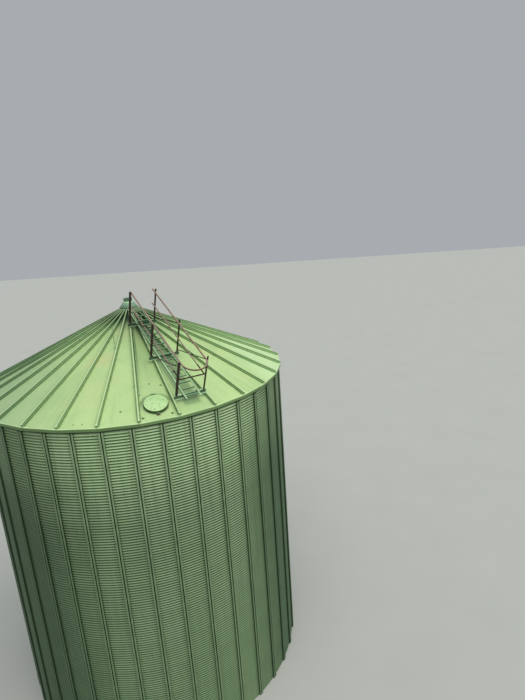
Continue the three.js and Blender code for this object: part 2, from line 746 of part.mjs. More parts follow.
// Conduit, lying on the sheet beside a rib and ending in a small box
function conduit() {
  const ribAcross = (up) => -EAVE_DISTANCE * Math.tan(HALF_STEP) * (1 - up / PANEL_LENGTH);
  const centre = CONDUIT_RADIUS + GAP;
  const box = CONDUIT_BOX / 2;
  const end = ribAcross(CONDUIT_START) + CONDUIT_FROM_RIB;
  return joined([
    roundBar(
      CONDUIT_RADIUS,
      [end, CONDUIT_START, centre],
      [ribAcross(CONDUIT_END) + CONDUIT_FROM_RIB, CONDUIT_END, centre],
      CONDUIT_SIDES,
    ),
    block(
      [end - box, end + box],
      [CONDUIT_START - box, CONDUIT_START + box],
      [GAP, CONDUIT_BOX_HEIGHT],
    ),
  ]);
}

piece("conduit", conduit(), GREEN_STEEL, panelFrame(CONDUIT_AZIMUTH));

// Rod in its eye bracket: the plate lies on the sheet and the rod stands upright
function eyeBracket() {
  const half = ROD_PLATE / 2;
  const upright = new THREE.Vector3(0, Math.sin(PANEL_SLOPE), Math.cos(PANEL_SLOPE));
  const tip = upright.multiplyScalar(ROD_HEIGHT);
  const foot = [ROD_ACROSS, ROD_UP, ROD_PLATE_SHEET / 2];
  return joined([
    block(
      [ROD_ACROSS - half, ROD_ACROSS + half],
      [ROD_UP - half, ROD_UP + half],
      [GAP, ROD_PLATE_SHEET],
    ),
    roundBar(ROD_RADIUS, foot, [ROD_ACROSS, ROD_UP + tip.y, foot[2] + tip.z], CONDUIT_SIDES),
  ]);
}

piece("eye_bracket", eyeBracket(), GREEN_STEEL, panelFrame(ROD_AZIMUTH));

export default silo;
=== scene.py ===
# %% [markdown]
# # A painted steel grain silo
#
# The silo is a round wall of corrugated sheets, stiffened outside by forty pressed posts, under a cone of
# flat roof sheets with standing ribs. The load-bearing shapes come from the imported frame. This lesson adds
# what the eye looks for next: the corrugations, the rolled edges, the bolts, and green paint that has
# stood outdoors for decades.

import math

import bmesh
import bpy
from mathutils import Matrix, Vector


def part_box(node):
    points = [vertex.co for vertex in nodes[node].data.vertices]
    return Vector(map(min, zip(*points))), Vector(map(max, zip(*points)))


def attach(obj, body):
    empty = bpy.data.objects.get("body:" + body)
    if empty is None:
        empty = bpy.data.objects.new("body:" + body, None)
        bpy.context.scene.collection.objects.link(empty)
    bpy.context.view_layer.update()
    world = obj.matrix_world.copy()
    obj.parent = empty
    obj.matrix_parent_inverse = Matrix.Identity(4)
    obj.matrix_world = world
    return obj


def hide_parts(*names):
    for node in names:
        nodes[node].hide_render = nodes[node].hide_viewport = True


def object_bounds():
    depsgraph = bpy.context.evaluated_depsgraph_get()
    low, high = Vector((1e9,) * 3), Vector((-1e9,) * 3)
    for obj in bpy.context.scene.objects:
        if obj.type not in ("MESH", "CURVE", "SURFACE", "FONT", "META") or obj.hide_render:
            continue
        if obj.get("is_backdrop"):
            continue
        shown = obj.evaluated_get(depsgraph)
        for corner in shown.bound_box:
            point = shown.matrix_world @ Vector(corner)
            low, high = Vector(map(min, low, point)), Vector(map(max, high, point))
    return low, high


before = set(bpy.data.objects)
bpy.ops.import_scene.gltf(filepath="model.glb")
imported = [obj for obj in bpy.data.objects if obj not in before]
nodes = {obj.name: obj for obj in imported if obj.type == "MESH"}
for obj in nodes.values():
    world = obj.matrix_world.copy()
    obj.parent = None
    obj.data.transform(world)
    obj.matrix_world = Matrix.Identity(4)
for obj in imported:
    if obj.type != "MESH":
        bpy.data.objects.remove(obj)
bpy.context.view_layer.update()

# %% [markdown]
# ## Sizes
#
# Everything is in metres. A ring of the wall is twelve corrugations high, as such sheets are rolled, and
# the roof has thirty ribs. An azimuth is an angle round the silo's axis, from +X. The hatch and the roof
# ladder are on the side that faces -Y.

# %% Sizes of the silo
MM = 0.001
WALL_RADIUS = 4572 * MM
WAVE_PITCH = 76.2 * MM
WAVE_DEPTH = 18 * MM
WAVES_PER_RING = 12
RING_COUNT = 11
RING_HEIGHT = WAVES_PER_RING * WAVE_PITCH
WALL_HEIGHT = RING_COUNT * RING_HEIGHT
CREST_RADIUS = WALL_RADIUS + WAVE_DEPTH / 2
SEGMENT_COUNT = 10
STIFFENER_COUNT = 40
STIFFENER_STEP = math.radians(360 / STIFFENER_COUNT)
FIRST_STIFFENER = math.radians(-62.35)
RIB_COUNT = 30
RIB_STEP = math.radians(360 / RIB_COUNT)
FIRST_RIB = math.radians(-78)
EAVE_RADIUS = 4668 * MM
ROOF_RISE = 2090 * MM
LIP_HEIGHT = 80 * MM
EAVE_DISTANCE = EAVE_RADIUS * math.cos(RIB_STEP / 2)
PANEL_SLOPE = math.atan(ROOF_RISE / EAVE_DISTANCE)
RIB_SLOPE = math.atan(ROOF_RISE / EAVE_RADIUS)
EAVE_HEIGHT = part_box("roof_sector_02")[0].z + LIP_HEIGHT
HATCH_AZIMUTH = -72
HATCH_UP = 520 * MM
LADDER_AZIMUTH = -60


def panel_frame(azimuth):
    """The frame of a roof panel: x across, y up the slope from the eave, z off the sheet."""
    turned = Matrix.Rotation(math.radians(azimuth + 90), 4, "Z")
    at_eave = Matrix.Translation((0, -EAVE_DISTANCE, EAVE_HEIGHT))
    return turned @ at_eave @ Matrix.Rotation(PANEL_SLOPE, 4, "X")


print("wall", round(WALL_HEIGHT, 3), "m, eave at", round(EAVE_HEIGHT, 4), "m")

# %% [markdown]
# ## Helpers
#
# Colours are written as the hex values of a paint chart, and one function turns them to the linear values
# that Blender works in. Finishes and Geometry Nodes trees are both long chains of nodes, and a node is
# always added in the same way: set its properties, then set or link its inputs. So one function adds every
# kind, and the kinds that come again and again have short names.

# %% A colour and a node
SRGB_KNEE = 0.04045
KINDS = {
    "noise": ("ShaderNodeTexNoise", {"Detail": 4.0, "Roughness": 0.6}),
    "mask": ("ShaderNodeMapRange", {"interpolation_type": "SMOOTHSTEP"}),
    "mix": ("ShaderNodeMix", {"data_type": "RGBA"}),
    "vector": ("ShaderNodeVectorMath", {}),
    "place": ("ShaderNodeCombineXYZ", {}),
    "parts": ("ShaderNodeSeparateXYZ", {}),
}


def paint(hex_colour):
    """The linear colour of an sRGB hex value."""
    parts = [int(hex_colour[i:i + 2], 16) / 255 for i in (1, 3, 5)]
    linear = [c / 12.92 if c <= SRGB_KNEE else ((c + 0.055) / 1.055) ** 2.4 for c in parts]
    return (*linear, 1.0)


def node_adder(tree):
    """Gives the function that adds a node to this tree."""

    def add(kind, *inputs, **settings):
        """Adds a node and gives back its first output.

        Inputs are values, hex colours or other nodes' outputs, in the order of the node's sockets, or in
        one dict by their names. A kind in capitals is an operation of a Math node.
        """
        math_kind = ("ShaderNodeMath", {"operation": kind})
        kind, preset = math_kind if kind.isupper() else KINDS.get(kind, (kind, {}))
        node = tree.nodes.new(kind)
        for name, value in {**preset, **settings}.items():
            if hasattr(node, name):
                setattr(node, name, value)
            else:
                node.inputs[name].default_value = value
        by_order = [socket for socket in node.inputs if socket.enabled]
        named = bool(inputs) and isinstance(inputs[0], dict)
        for key, value in inputs[0].items() if named else enumerate(inputs):
            socket = node.inputs[key] if named else by_order[key]
            if isinstance(value, bpy.types.NodeSocket):
                tree.links.new(value, socket)
            else:
                socket.default_value = paint(value) if isinstance(value, str) else value
        return next((output for output in node.outputs if output.enabled), None)

    return add


print("short names:", list(KINDS))

# %% The start and the end of a material
def start_material(name):
    """A new material, the function that adds its nodes, and its Object coordinates."""
    material = bpy.data.materials.new(name)
    material.use_nodes = True
    material.node_tree.nodes.clear()
    add = node_adder(material.node_tree)
    return material, add, add("ShaderNodeTexCoord").node.outputs["Object"]


def finish_material(add, colour, roughness, height=None, bump=0.3, depth=2 * MM, metallic=0.0):
    """Ends a tree in a Principled surface, with a bump where a height is given."""
    surface = {"Base Color": colour, "Roughness": roughness, "Metallic": metallic}
    if height is not None:
        relief = {"Strength": bump, "Distance": depth, "Height": height}
        surface["Normal"] = add("ShaderNodeBump", relief)
    add("ShaderNodeOutputMaterial", add("ShaderNodeBsdfPrincipled", surface))


def layered(add, colour, *coats):
    """Lays coats over a colour. Each is a mask, or the inputs of one, and then the colour it brings."""
    for *share, coat in coats:
        mask = share[0] if len(share) == 1 else add("mask", *share)
        colour = add("mix", mask, colour, coat)
    return colour


def scale_for(width):
    """The scale of a pattern whose patches are this wide, in mm."""
    return 1 / (width * MM)


print("scale for patches of 25 mm:", round(scale_for(25), 3))

# %% [markdown]
# ## The camera, the light and the floor
#
# The silo is seen from four and a half metres above its eaves, with the picture a little askew. The camera
# is set from its place, its turn and its focal length, so that what is rendered lies where the photograph
# has it. The light is that of a covered sky: soft, and from above and in front, so that the wall gets a
# good share of it and the panels that turn away to the left get less.

# %% Camera
PHOTO_HEIGHT = 700
FOCAL_PIXELS = 487.6
SENSOR = 36.0
CAMERA_PLACE = Vector((3.6707, -15.3479, EAVE_HEIGHT + 4.4874))
CAMERA_YAW = math.radians(1.66)  # from +Y towards +X
CAMERA_PITCH = math.radians(15.06)  # downwards
CAMERA_ROLL = math.radians(3.67)

ahead = Vector((
    math.sin(CAMERA_YAW) * math.cos(CAMERA_PITCH),
    math.cos(CAMERA_YAW) * math.cos(CAMERA_PITCH),
    -math.sin(CAMERA_PITCH),
))
level_right = Vector((math.cos(CAMERA_YAW), -math.sin(CAMERA_YAW), 0))
level_down = ahead.cross(level_right)
right = math.cos(CAMERA_ROLL) * level_right + math.sin(CAMERA_ROLL) * level_down
down = math.cos(CAMERA_ROLL) * level_down - math.sin(CAMERA_ROLL) * level_right
camera_data = bpy.data.cameras.new("camera")
camera_data.sensor_width = SENSOR
camera_data.lens = FOCAL_PIXELS / PHOTO_HEIGHT * SENSOR
camera_data.clip_end = 1000
camera = bpy.data.objects.new("camera", camera_data)
bpy.context.scene.collection.objects.link(camera)
turn = Matrix((right, -down, -ahead)).transposed()
camera.matrix_world = Matrix.Translation(CAMERA_PLACE) @ turn.to_4x4()
bpy.context.scene.camera = camera
print("lens", round(camera_data.lens, 2), "mm")

# %% Light
world = bpy.data.worlds.new("covered_sky")
world.use_nodes = True
bpy.context.scene.world = world
sky = world.node_tree.nodes["Background"]
sky.inputs["Color"].default_value = paint("#e4eaf0")
sky.inputs["Strength"].default_value = 0.5
bpy.context.scene.view_settings.view_transform = "Standard"

CLOUD_SPREAD = 90
CLOUD_TILT = 38  # from straight above
CLOUD_AZIMUTH = -50
cloud = bpy.data.lights.new("bright_cloud_in_front", "SUN")
cloud.energy = 2.45
cloud.angle = math.radians(CLOUD_SPREAD)
cloud.color = paint("#fffaf0")[:3]
lamp = bpy.data.objects.new(cloud.name, cloud)
lamp.rotation_euler = (math.radians(CLOUD_TILT), 0, math.radians(CLOUD_AZIMUTH + 90))
bpy.context.scene.collection.objects.link(lamp)
print("light:", lamp.name)

# %% Floor
FLOOR_HALF = 150.0
floor_mesh = bpy.data.meshes.new("floor")
corners = [(x * FLOOR_HALF, y * FLOOR_HALF, -1 * MM) for x, y in ((-1, -1), (1, -1), (1, 1), (-1, 1))]
floor_mesh.from_pydata(corners, [], [(0, 1, 2, 3)])
floor = bpy.data.objects.new("floor", floor_mesh)
bpy.context.scene.collection.objects.link(floor)
floor_finish, add, place = start_material("pale_studio_floor")
tone = add("mix", add("noise", place, scale_for(2500)), "#b3b7b4", "#bbbfbc")
dull = add("mask", add("noise", place, scale_for(1110)), 0.3, 0.7, 0.8, 0.95)
finish_material(add, tone, dull)
floor_mesh.materials.append(floor_finish)
floor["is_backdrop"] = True
print("floor:", 2 * FLOOR_HALF, "m")

# %% [markdown]
# ## Old green paint
#
# The sheets were galvanised and then painted with green enamel. Out of doors it chalks: the colour pales
# in soft patches a metre or so across, and rain draws streaks the way it runs. Faces that rain can't wash,
# the upright sides of a rib and an underside, are painted darker: partly dirt, partly painted shade. A
# photograph wrapped round the silo would show that once and be blurred up close. Noise in Object coordinates
# has no such limit, and its scale is worked out from the real width of a patch in mm. Only the specks are
# drawn coarser: real ones are 2 to 5 mm wide, and wouldn't show. A mask rises smoothly as its value goes
# from one number to the next.

# %% The base of every green paint
def patches(add, place, width, start, end, strength=1.0, detail=4.0, roughness=0.6):
    """The parts of a surface where a noise is high."""
    cloud = add("noise", place, scale_for(width), detail, roughness)
    return add("mask", cloud, start, end, 0, strength)


def chalking(add, place, fresh, chalked, width):
    """Enamel gone pale in broad patches, with finer clouding inside them."""
    broad = add("noise", place, scale_for(width), 6.0)
    clouded = add("mix", add("mask", broad, 0.36, 0.66), fresh, chalked)
    return add("mix", patches(add, place, width / 9, 0.45, 0.75, 0.35), clouded, chalked), broad


def unwashed_and_shaded(add, low, high):
    """A mask for sideways or downward faces, unwashed by rain and painted in shade. It turns with the piece.
    """
    normal = add("ShaderNodeTexCoord").node.outputs["Normal"]
    return add("mask", add("parts", normal).node.outputs["Z"], high, low)


def round_axis(add, place):
    """The radius, the azimuth, the unit direction away from the axis, and the height."""
    flat = add("vector", place, (1, 1, 0), operation="MULTIPLY")
    radius = add("vector", flat, operation="LENGTH")
    away = add("vector", flat, operation="NORMALIZE")
    part = add("parts", place).node.outputs
    return radius, add("ARCTAN2", part["Y"], part["X"]), away, part["Z"]


def out_and_across(add, place, azimuth):
    """How far a point is from the axis along an azimuth, and how far across it."""
    angle = math.radians(azimuth)
    directions = ((math.cos(angle), math.sin(angle), 0), (-math.sin(angle), math.cos(angle), 0))
    return [add("vector", place, direction, operation="DOT_PRODUCT") for direction in directions]


def both(add, *masks):
    """Where all these masks meet: their product."""
    total = masks[0]
    for share in masks[1:]:
        total = add("MULTIPLY", total, share)
    return total


print("ready: patches, chalk, shelter and places round the axis")

# %% [markdown]
# The roof's paint is the brightest, because the sheets face the sky. It yellows a little in the middle of
# the panels and darkens towards the peak: dirt, and painted shade between the converging ribs. Dirt and
# painted shade lie on the panel along each rib and on the ribs' upright sides. Panels towards -X are painted
# darker in painted shade, and panels towards +X paler in painted light. The middle of each rib's top and
# the fold at the eave carry a painted highlight, the palest of all, and the lip below the fold is painted in
# shade. How far a point stands off the plane of its panel tells these apart. A few dark tufts of moss sit at
# the lower edge.

# %% Moss, a stain and streaks
MOSS = [
    ((0.469, -4.194, 10.226), 34), ((1.034, -4.400, 10.098), 40), ((1.034, -3.271, 10.581), 30),
    ((1.328, -3.291, 10.530), 34), ((1.709, -4.185, 10.096), 40), ((-0.384, -4.489, 10.098), 24),
    ((-0.601, -4.471, 10.095), 22),
]
MOSS_EDGE = 20
STAIN = (-0.33, -2.35, 11.04)


def moss_mask(add, place):
    """The nearest tuft's share at each point: a place on the roof and a radius in mm for each tuft."""
    ragged = add("noise", place, scale_for(22.2))
    total = 0.0
    for centre, size in MOSS:
        away = add("vector", place, centre, operation="DISTANCE")
        uneven = add("MULTIPLY_ADD", ragged, 0.03, away)
        tuft = add("mask", uneven, (size + MOSS_EDGE) * MM, size * MM, 0, 0.85)
        total = add("MAXIMUM", total, tuft)
    return total


def stained(add, place):
    """One faint rusty stain, where something lay on the roof for years."""
    away = add("vector", place, STAIN, operation="DISTANCE")
    ragged = add("MULTIPLY_ADD", add("noise", place, scale_for(200)), 0.7, away)
    return add("mask", ragged, 0.85, 0.4, 0, 0.5)


def streaks_down_slope(add, radius, away, width, length):
    """Noise drawn out along the slope. The streaks' width at the eave and their length are in mm."""
    across = add("vector", away, EAVE_RADIUS * scale_for(width), operation="SCALE")
    along = add("place", 0, 0, add("MULTIPLY", radius, scale_for(length)))
    return add("noise", add("vector", across, along, operation="ADD"), 1.0, 5.0)


print("tufts of moss:", len(MOSS))

# %% Painted shade under the ladder and round the hatch
hatch_centre = panel_frame(HATCH_AZIMUTH) @ Vector((0, HATCH_UP, 0))


def under_ladder(add, place):
    """The strip of the panel that the ladder keeps in the shade."""
    out, across = out_and_across(add, place, LADDER_AZIMUTH)
    strip = add("mask", add("ABSOLUTE", across), 0.25, 0.17, 0, 0.6)
    return both(add, strip, add("mask", out, 0.3, 0.6), add("mask", out, 4.45, 4.3))


def round_hatch(add, place):
    """Painted shade round the hatch: under the lid's rim, along its uphill side and behind the hinge."""
    away = add("vector", place, hatch_centre, operation="DISTANCE")
    ragged = add("MULTIPLY_ADD", add("noise", place, scale_for(111)), 0.05, away)
    out, across = out_and_across(add, place, HATCH_AZIMUTH)
    uphill = add("mask", out, hatch_centre.xy.length + 0.05, hatch_centre.xy.length - 0.15)
    behind = both(add, add("mask", ragged, 0.47, 0.41, 0, 0.5), uphill)
    near_hinge = add("mask", add("ABSOLUTE", across), 0.08, 0.06)
    hinge = both(add, add("mask", away, 0.43, 0.41), uphill, near_hinge)
    rim = add("mask", ragged, 0.365, 0.34, 0, 0.45)
    return add("MAXIMUM", add("MAXIMUM", behind, hinge), rim)


print("centre of the hatch:", [round(v, 3) for v in hatch_centre], "m")

# %% Roof enamel
def off_panel(add, radius, height, in_panel):
    """How far a point is above the plane of its roof panel."""
    turned_off = add("MULTIPLY", add("SUBTRACT", in_panel, 0.5), RIB_STEP)
    distance = add("MULTIPLY", radius, add("COSINE", turned_off))
    inward = add("SUBTRACT", EAVE_DISTANCE, distance)
    return add("SUBTRACT", height, add("MULTIPLY_ADD", inward, math.tan(PANEL_SLOPE), EAVE_HEIGHT))


def roof_finish():
    """Chalked enamel with the roof's own dirt, its painted shade and its painted highlights."""
    material, add, place = start_material("chalked_green_roof_enamel")
    radius, azimuth, away, height = round_axis(add, place)
    colour, broad = chalking(add, place, "#abcd8e", "#b9d695", 1250)
    # Panels and rib sides towards -X are painted darker and bluer: painted shade.
    left_side_shade = add("mask", out_and_across(add, place, 180)[0], 0.3, 3.2)
    colour = layered(
        add, colour,
        (patches(add, place, 1820, 0.52, 0.7, 0.5, 3.0), "#c3cf93"),
        (stained(add, place), "#c9c58f"),
        (streaks_down_slope(add, radius, away, 180, 1670), 0.5, 0.75, 0, 0.3, "#8aa971"),
        (add("MULTIPLY", left_side_shade, 0.5), "#84a487"),
        # Panels towards +X are painted paler: painted light.
        (out_and_across(add, place, 40)[0], 1.2, 2.6, 0, 0.75, "#c9e8b3"),
    )
    in_panel = add("FRACT", add("DIVIDE", add("SUBTRACT", azimuth, FIRST_RIB), RIB_STEP))
    lifted = off_panel(add, radius, height, in_panel)
    on_sheet = add("mask", lifted, 0.03, 0.01)
    cap_top = add("mask", lifted, 0.05, 0.07)
    off_middle = add("ABSOLUTE", add("SUBTRACT", in_panel, 0.5))
    from_rib = both(add, add("SUBTRACT", 0.5, off_middle), RIB_STEP, radius)
    uneven = add("MULTIPLY_ADD", add("noise", place, scale_for(143)), -0.08, from_rib)
    shaded = both(add, under_ladder(add, place), on_sheet)
    # Between the converging ribs near the peak, below their caps: dirt and painted shade.
    below_caps = add("mask", lifted, 0.074, 0.06, 0.4, 1)
    near_peak = both(add, add("mask", radius, 1.25, 0.55, 0, 0.95), below_caps)
    # The ribs' upright sides: painted shade, darker towards -X and on the upper part of the cap's side.
    rib_side = add("mix", left_side_shade, "#a0c68c", "#54795a")
    rib_side = add("mix", add("mask", lifted, 0.035, 0.055, 0, 0.75), rib_side, "#34522c")
    colour = layered(
        add, colour,
        # Along the foot of each rib the sheet is painted darker: dirt and painted shade.
        (both(add, add("mask", uneven, 0.04, -0.015, 0, 0.6), on_sheet), "#5d8448"),
        (both(add, add("mask", from_rib, 0.05, 0.03, 0, 0.4), on_sheet), "#54763f"),
        # Under the ladder: its painted shadow on the sheet, darker towards the peak.
        (shaded, "#6d9268"),
        (both(add, shaded, add("mask", radius, 3.0, 1.2)), "#3d6045"),
        # Round the hatch: painted shade.
        (both(add, round_hatch(add, place), on_sheet), "#3d5a2c"),
        # The caps' tops are painted darker at their edges with a painted highlight along their middle, and
        # the fold at the eave carries a painted highlight.
        (add("MULTIPLY", cap_top, 0.6), "#86a76e"),
        (both(add, add("mask", from_rib, 0.019, 0.01, 0, 0.8), cap_top), "#c3dfa9"),
        (radius, 4.625, 4.64, 0, 0.75, "#cde9b4"),
        # Sideways faces of the ribs take that colour: painted shade, partly dirt.
        (add("MULTIPLY", unwashed_and_shaded(add, 0.3, 0.75), 0.85), rib_side),
        # The lip at the eave and the undersides of the sheets are painted darker: painted shade.
        (lifted, -0.004, -0.02, 0, 0.9, "#56753f"),
        # Towards the peak the panels are painted darker: dirt and painted shade.
        (radius, 2.3, 1.1, 0, 0.2, "#3d5c40"),
        (near_peak, "#1b3826"),
        (patches(add, place, 23.8, 0.63, 0.75, 0.45, 3.0, 0.7), "#7d965f"),
        (moss_mask(add, place), "#3f4c2a"),
    )
    gloss = add("mask", broad, 0.3, 0.7, 0.42, 0.62)
    finish_material(add, colour, gloss, add("noise", place, scale_for(417), 2.0), 0.35, 12 * MM)
    return material


roof_enamel = roof_finish()
print("roof enamel:", len(roof_enamel.node_tree.nodes), "nodes")

# %% [markdown]
# The wall's paint is the same, but the wall stands upright, so it is duller. Rain chalks the upper half of
# each corrugation, and the underside and the valley are painted dark: dirt and painted shade. The mask for
# the valley comes from the radius: the sheet swings 9 mm either side of its mean. The wall is painted darker
# downwards and on its two flanks, more so lower down, and a dark band is painted under the eave: all of it
# painted shade.

# %% Wall enamel
# Colours of painted shade: lower down the wall, on its flanks, and under the eave.
LOW_PAINTED_SHADE = "#3f5f3a"
FLANK_SHADE = "#2c4a30"
EAVE_SHADOW = "#1c3016"


def shaded_flanks(add, place, height):
    """Painted shade on the wall's two flanks either side of the hatch's azimuth, more of it lower down."""
    across = add("ABSOLUTE", out_and_across(add, place, HATCH_AZIMUTH)[1])
    ragged = add("MULTIPLY_ADD", add("noise", place, scale_for(909)), 0.9, across)
    return both(add, add("mask", ragged, 1.9, 4.1), add("mask", height, 9.8, 6.5, 0.62, 0.8))


def wall_finish():
    """Chalked enamel with the wall's own dirt and its painted shade."""
    material, add, place = start_material("weathered_green_wall_enamel")
    radius, azimuth, away, height = round_axis(add, place)
    colour, broad = chalking(add, place, "#a3c391", "#b4d0a3", 1430)
    drawn_down = add("vector", place, (1, 1, 0.05), operation="MULTIPLY")
    # Faces that look down and the valleys are painted darker: dirt and painted shade.
    underside = add("mix", add("mask", height, 9.4, 7.6), "#2f4c1c", "#1b2f14")
    colour = layered(
        add, colour,
        (patches(add, drawn_down, 143, 0.48, 0.74, 0.4, 5.0), "#6c8a5c"),
        # Darker downwards: painted shade.
        (height, 9.5, 6.9, 0, 0.58, LOW_PAINTED_SHADE),
        (height, 7.0, 0.0, 0, 0.3, "#45653b"),
        # The two flanks are painted darker, more of it lower down: painted shade.
        (shaded_flanks(add, place, height), FLANK_SHADE),
        (unwashed_and_shaded(add, -0.35, 0.15), underside),
        (radius, WALL_RADIUS - 1 * MM, WALL_RADIUS - WAVE_DEPTH / 2, 0, 0.6, underside),
        # Under the eave the top of the wall is painted dark: the eave's painted shadow.
        (height, 9.88, 9.9, "#6f8b64"),
        (height, 9.865, 9.905, 0, 0.95, EAVE_SHADOW),
        (patches(add, place, 27.8, 0.62, 0.75, 0.4, 3.0, 0.7), "#56704a"),
    )
    gloss = add("mask", broad, 0.3, 0.7, 0.46, 0.66)
    finish_material(add, colour, gloss, add("noise", place, scale_for(33.3)), 0.25, 1 * MM)
    return material


wall_enamel = wall_finish()
print("wall enamel:", len(wall_enamel.node_tree.nodes), "nodes")

# %% [markdown]
# The rolled sections and the small fittings carry a third paint. It is bluer, because it was touched up
# later, and its edges chip. One recipe makes it in several shades, with dirt streaks and painted shade on
# faces that look sideways or down, and a piece of its own adds coats: painted shade on the ladder between
# its stringers and at its upper end, the lid's mouldy inside, a painted highlight on the edge of the peak's
# shoulder with a darker cone below it, and on the wall's posts painted shade in the groove, lower down, on
# the flanks and under the eave.

# %% How single pieces wear, and where shade is painted on them
def no_wear(add, place):
    """No coats beyond the recipe's."""
    return ()


def shaded_ladder(add, place):
    """Painted shade on the ladder between its stringers, and at its upper end."""
    out, across = out_and_across(add, place, LADDER_AZIMUTH)
    return ((add("ABSOLUTE", across), 0.196, 0.182, 0, 0.55, "#4a7656"),
            (out, 3.4, 1.5, 0, 0.5, "#2c4b37"))


def mouldy_inside(add, place):
    """The lid's underside, where damp air from the grain settles."""
    mottled = add("mix", patches(add, place, 71.4, 0.42, 0.68, 0.7, 5.0), "#86a378", "#26381a")
    return ((unwashed_and_shaded(add, -0.9, -0.7), mottled),)


def highlit_shoulder_dark_below(add, place):
    """The peak's cone, darker below a painted highlight on the edge of its shoulder."""
    height = add("parts", place).node.outputs["Z"]
    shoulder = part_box("peak_cap")[1].z - 0.1
    above = add("mask", height, shoulder - 0.03, shoulder - 0.01)
    below = add("mask", height, shoulder + 0.015, shoulder)
    return ((height, shoulder - 0.05, shoulder - 0.17, 0, 0.6, "#3d5c46"),
            (both(add, above, below), "#bde0b4"))


def shaded_groove(add, place):
    """A wall post: painted shade lower down, on the flanks, in its groove and under the eave."""
    radius, azimuth, away, height = round_axis(add, place)
    return (
        (height, 9.5, 6.0, 0, 0.5, LOW_PAINTED_SHADE),
        (shaded_flanks(add, place, height), FLANK_SHADE),
        # The groove is painted nearly black: painted shade.
        (radius, CREST_RADIUS + 46 * MM, CREST_RADIUS + 22 * MM, 0, 0.95, "#182a14"),
        # Under the eave: the eave's painted shadow.
        (height, 9.885, 9.925, 0, 0.95, EAVE_SHADOW),
    )


print("ready: wear of the ladder, the lid, the peak and the wall's posts")

# %% Enamel on sections, on the lid and on the peak
def section_enamel(name, fresh, chalked, dirt_and_shade, low=0.2, high=0.8, share=0.6, wear=no_wear):
    """Touched-up enamel. Dirt streaks it, and painted shade covers this share of sideways or downward faces.
    """
    material, add, place = start_material(name)
    colour, broad = chalking(add, place, fresh, chalked, 333)
    drawn_down = add("vector", place, (1, 1, 3 / 16), operation="MULTIPLY")
    colour = layered(
        add, colour,
        (patches(add, drawn_down, 62.5, 0.5, 0.75, 0.45), dirt_and_shade),
        # Faces that look sideways or down: painted shade.
        (add("MULTIPLY", unwashed_and_shaded(add, low, high), share), dirt_and_shade),
        (patches(add, place, 14.3, 0.68, 0.76, 0.7, 3.0, 0.7), "#5b4a38"),
        *wear(add, place),
    )
    gloss = add("mask", broad, 0.3, 0.7, 0.4, 0.6)
    finish_material(add, colour, gloss, add("noise", place, scale_for(18.2)), 0.2, 1 * MM)
    return material


# Each shade's third colour serves for dirt streaks and for painted shade on faces that look sideways or
# down. The collar under the lid is painted dark all over, and the lid's rim side nearly black: painted
# shade.
section_green = section_enamel("green_enamel_on_rolled_sections", "#8ab483", "#9cc492", "#3f6248")
collar_green = section_enamel("shaded_green_enamel_under_lid", "#4c6840", "#5a774b", "#2a3d20")
ladder_green = section_enamel("green_enamel_on_roof_ladder", "#a8cf9c", "#bfe2b0", "#2a4a34",
                              0.5, 0.93, 0.92, shaded_ladder)
stiffener_green = section_enamel("green_enamel_on_wall_posts", "#78946c", "#8ba57d", "#4a6a45",
                                 -0.6, 0.1, wear=shaded_groove)
lid_green = section_enamel("pale_green_enamel_on_hatch_lid", "#b1d998", "#bbe0a1", "#26381a",
                           0.3, 0.85, 0.95, mouldy_inside)
peak_green = section_enamel("pale_green_enamel_on_peak", "#70957a", "#86a98b", "#3d5c46",
                            0.0, 0.6, wear=highlit_shoulder_dark_below)
print("section paints:", [m.name for m in (section_green, ladder_green, lid_green, peak_green)])

# %% [markdown]
# The handrail and its posts were painted brown. Their sides are painted nearly black, as painted shade, and
# rust comes through in blotches of a few centimetres. Hands have worn the rail itself to a paler pinkish
# brown, so it gets a lighter shade by the same recipe. The middle rail is scuffed too, and its bar across
# the ladder's foot is painted black: dirt and painted shade. Bare zinc shows only on the hidden rings: a
# metal with a spangle of grey crystals, dulled by its own oxide. The bolts' heads are painted over and
# rusty.

# %% Brown paint, zinc and painted bolts
def grimy_shaded_foot(add, place):
    """The bar of the middle rail across the ladder's foot, painted black: dirt and painted shade."""
    return ((out_and_across(add, place, LADDER_AZIMUTH)[0], 4.1, 4.14, "#2a1e17"),)


def brown_finish(name, top, side, wear=no_wear):
    """Brown paint with rust blotches, specks of lime, and painted shade on its sides."""
    material, add, place = start_material(name)
    blotches = add("noise", place, scale_for(90.9), 6.0, 0.65)
    colour = layered(
        # The sides are painted darker than the top: painted shade.
        add, add("mix", unwashed_and_shaded(add, 0.2, 0.95), top, side),
        *wear(add, place),
        (blotches, 0.52, 0.72, 0, 0.7, "#5f3a26"),
        (patches(add, place, 38.5, 0.66, 0.72, 0.5, 3.0, 0.7), "#b5aca0"),
    )
    gloss = add("mask", blotches, 0.3, 0.7, 0.6, 0.9)
    finish_material(add, colour, gloss, add("noise", place, scale_for(16.7)), 0.4)
    return material


def zinc_finish():
    """Galvanising with its spangle."""
    material, add, place = start_material("dull_galvanised_steel")
    spangle = add("ShaderNodeTexVoronoi", place, scale_for(18.2))
    colour = add("mix", spangle, "#8c9491", "#abb2af")
    colour = add("mix", patches(add, place, 167, 0.5, 0.75, 0.5), colour, "#6f756f")
    finish_material(add, colour, add("mask", spangle, 0.0, 0.8, 0.42, 0.65), metallic=0.9)
    return material


def bolt_finish():
    """Green paint on a bolt's head, broken by rust."""
    material, add, place = start_material("painted_bolt_heads_with_rust")
    colour = add("mix", patches(add, place, 16.7, 0.45, 0.6), "#5c7a58", "#4a4033")
    gloss = add("mask", add("noise", place, scale_for(11.1)), 0.3, 0.7, 0.5, 0.8)
    finish_material(add, colour, gloss)
    return material


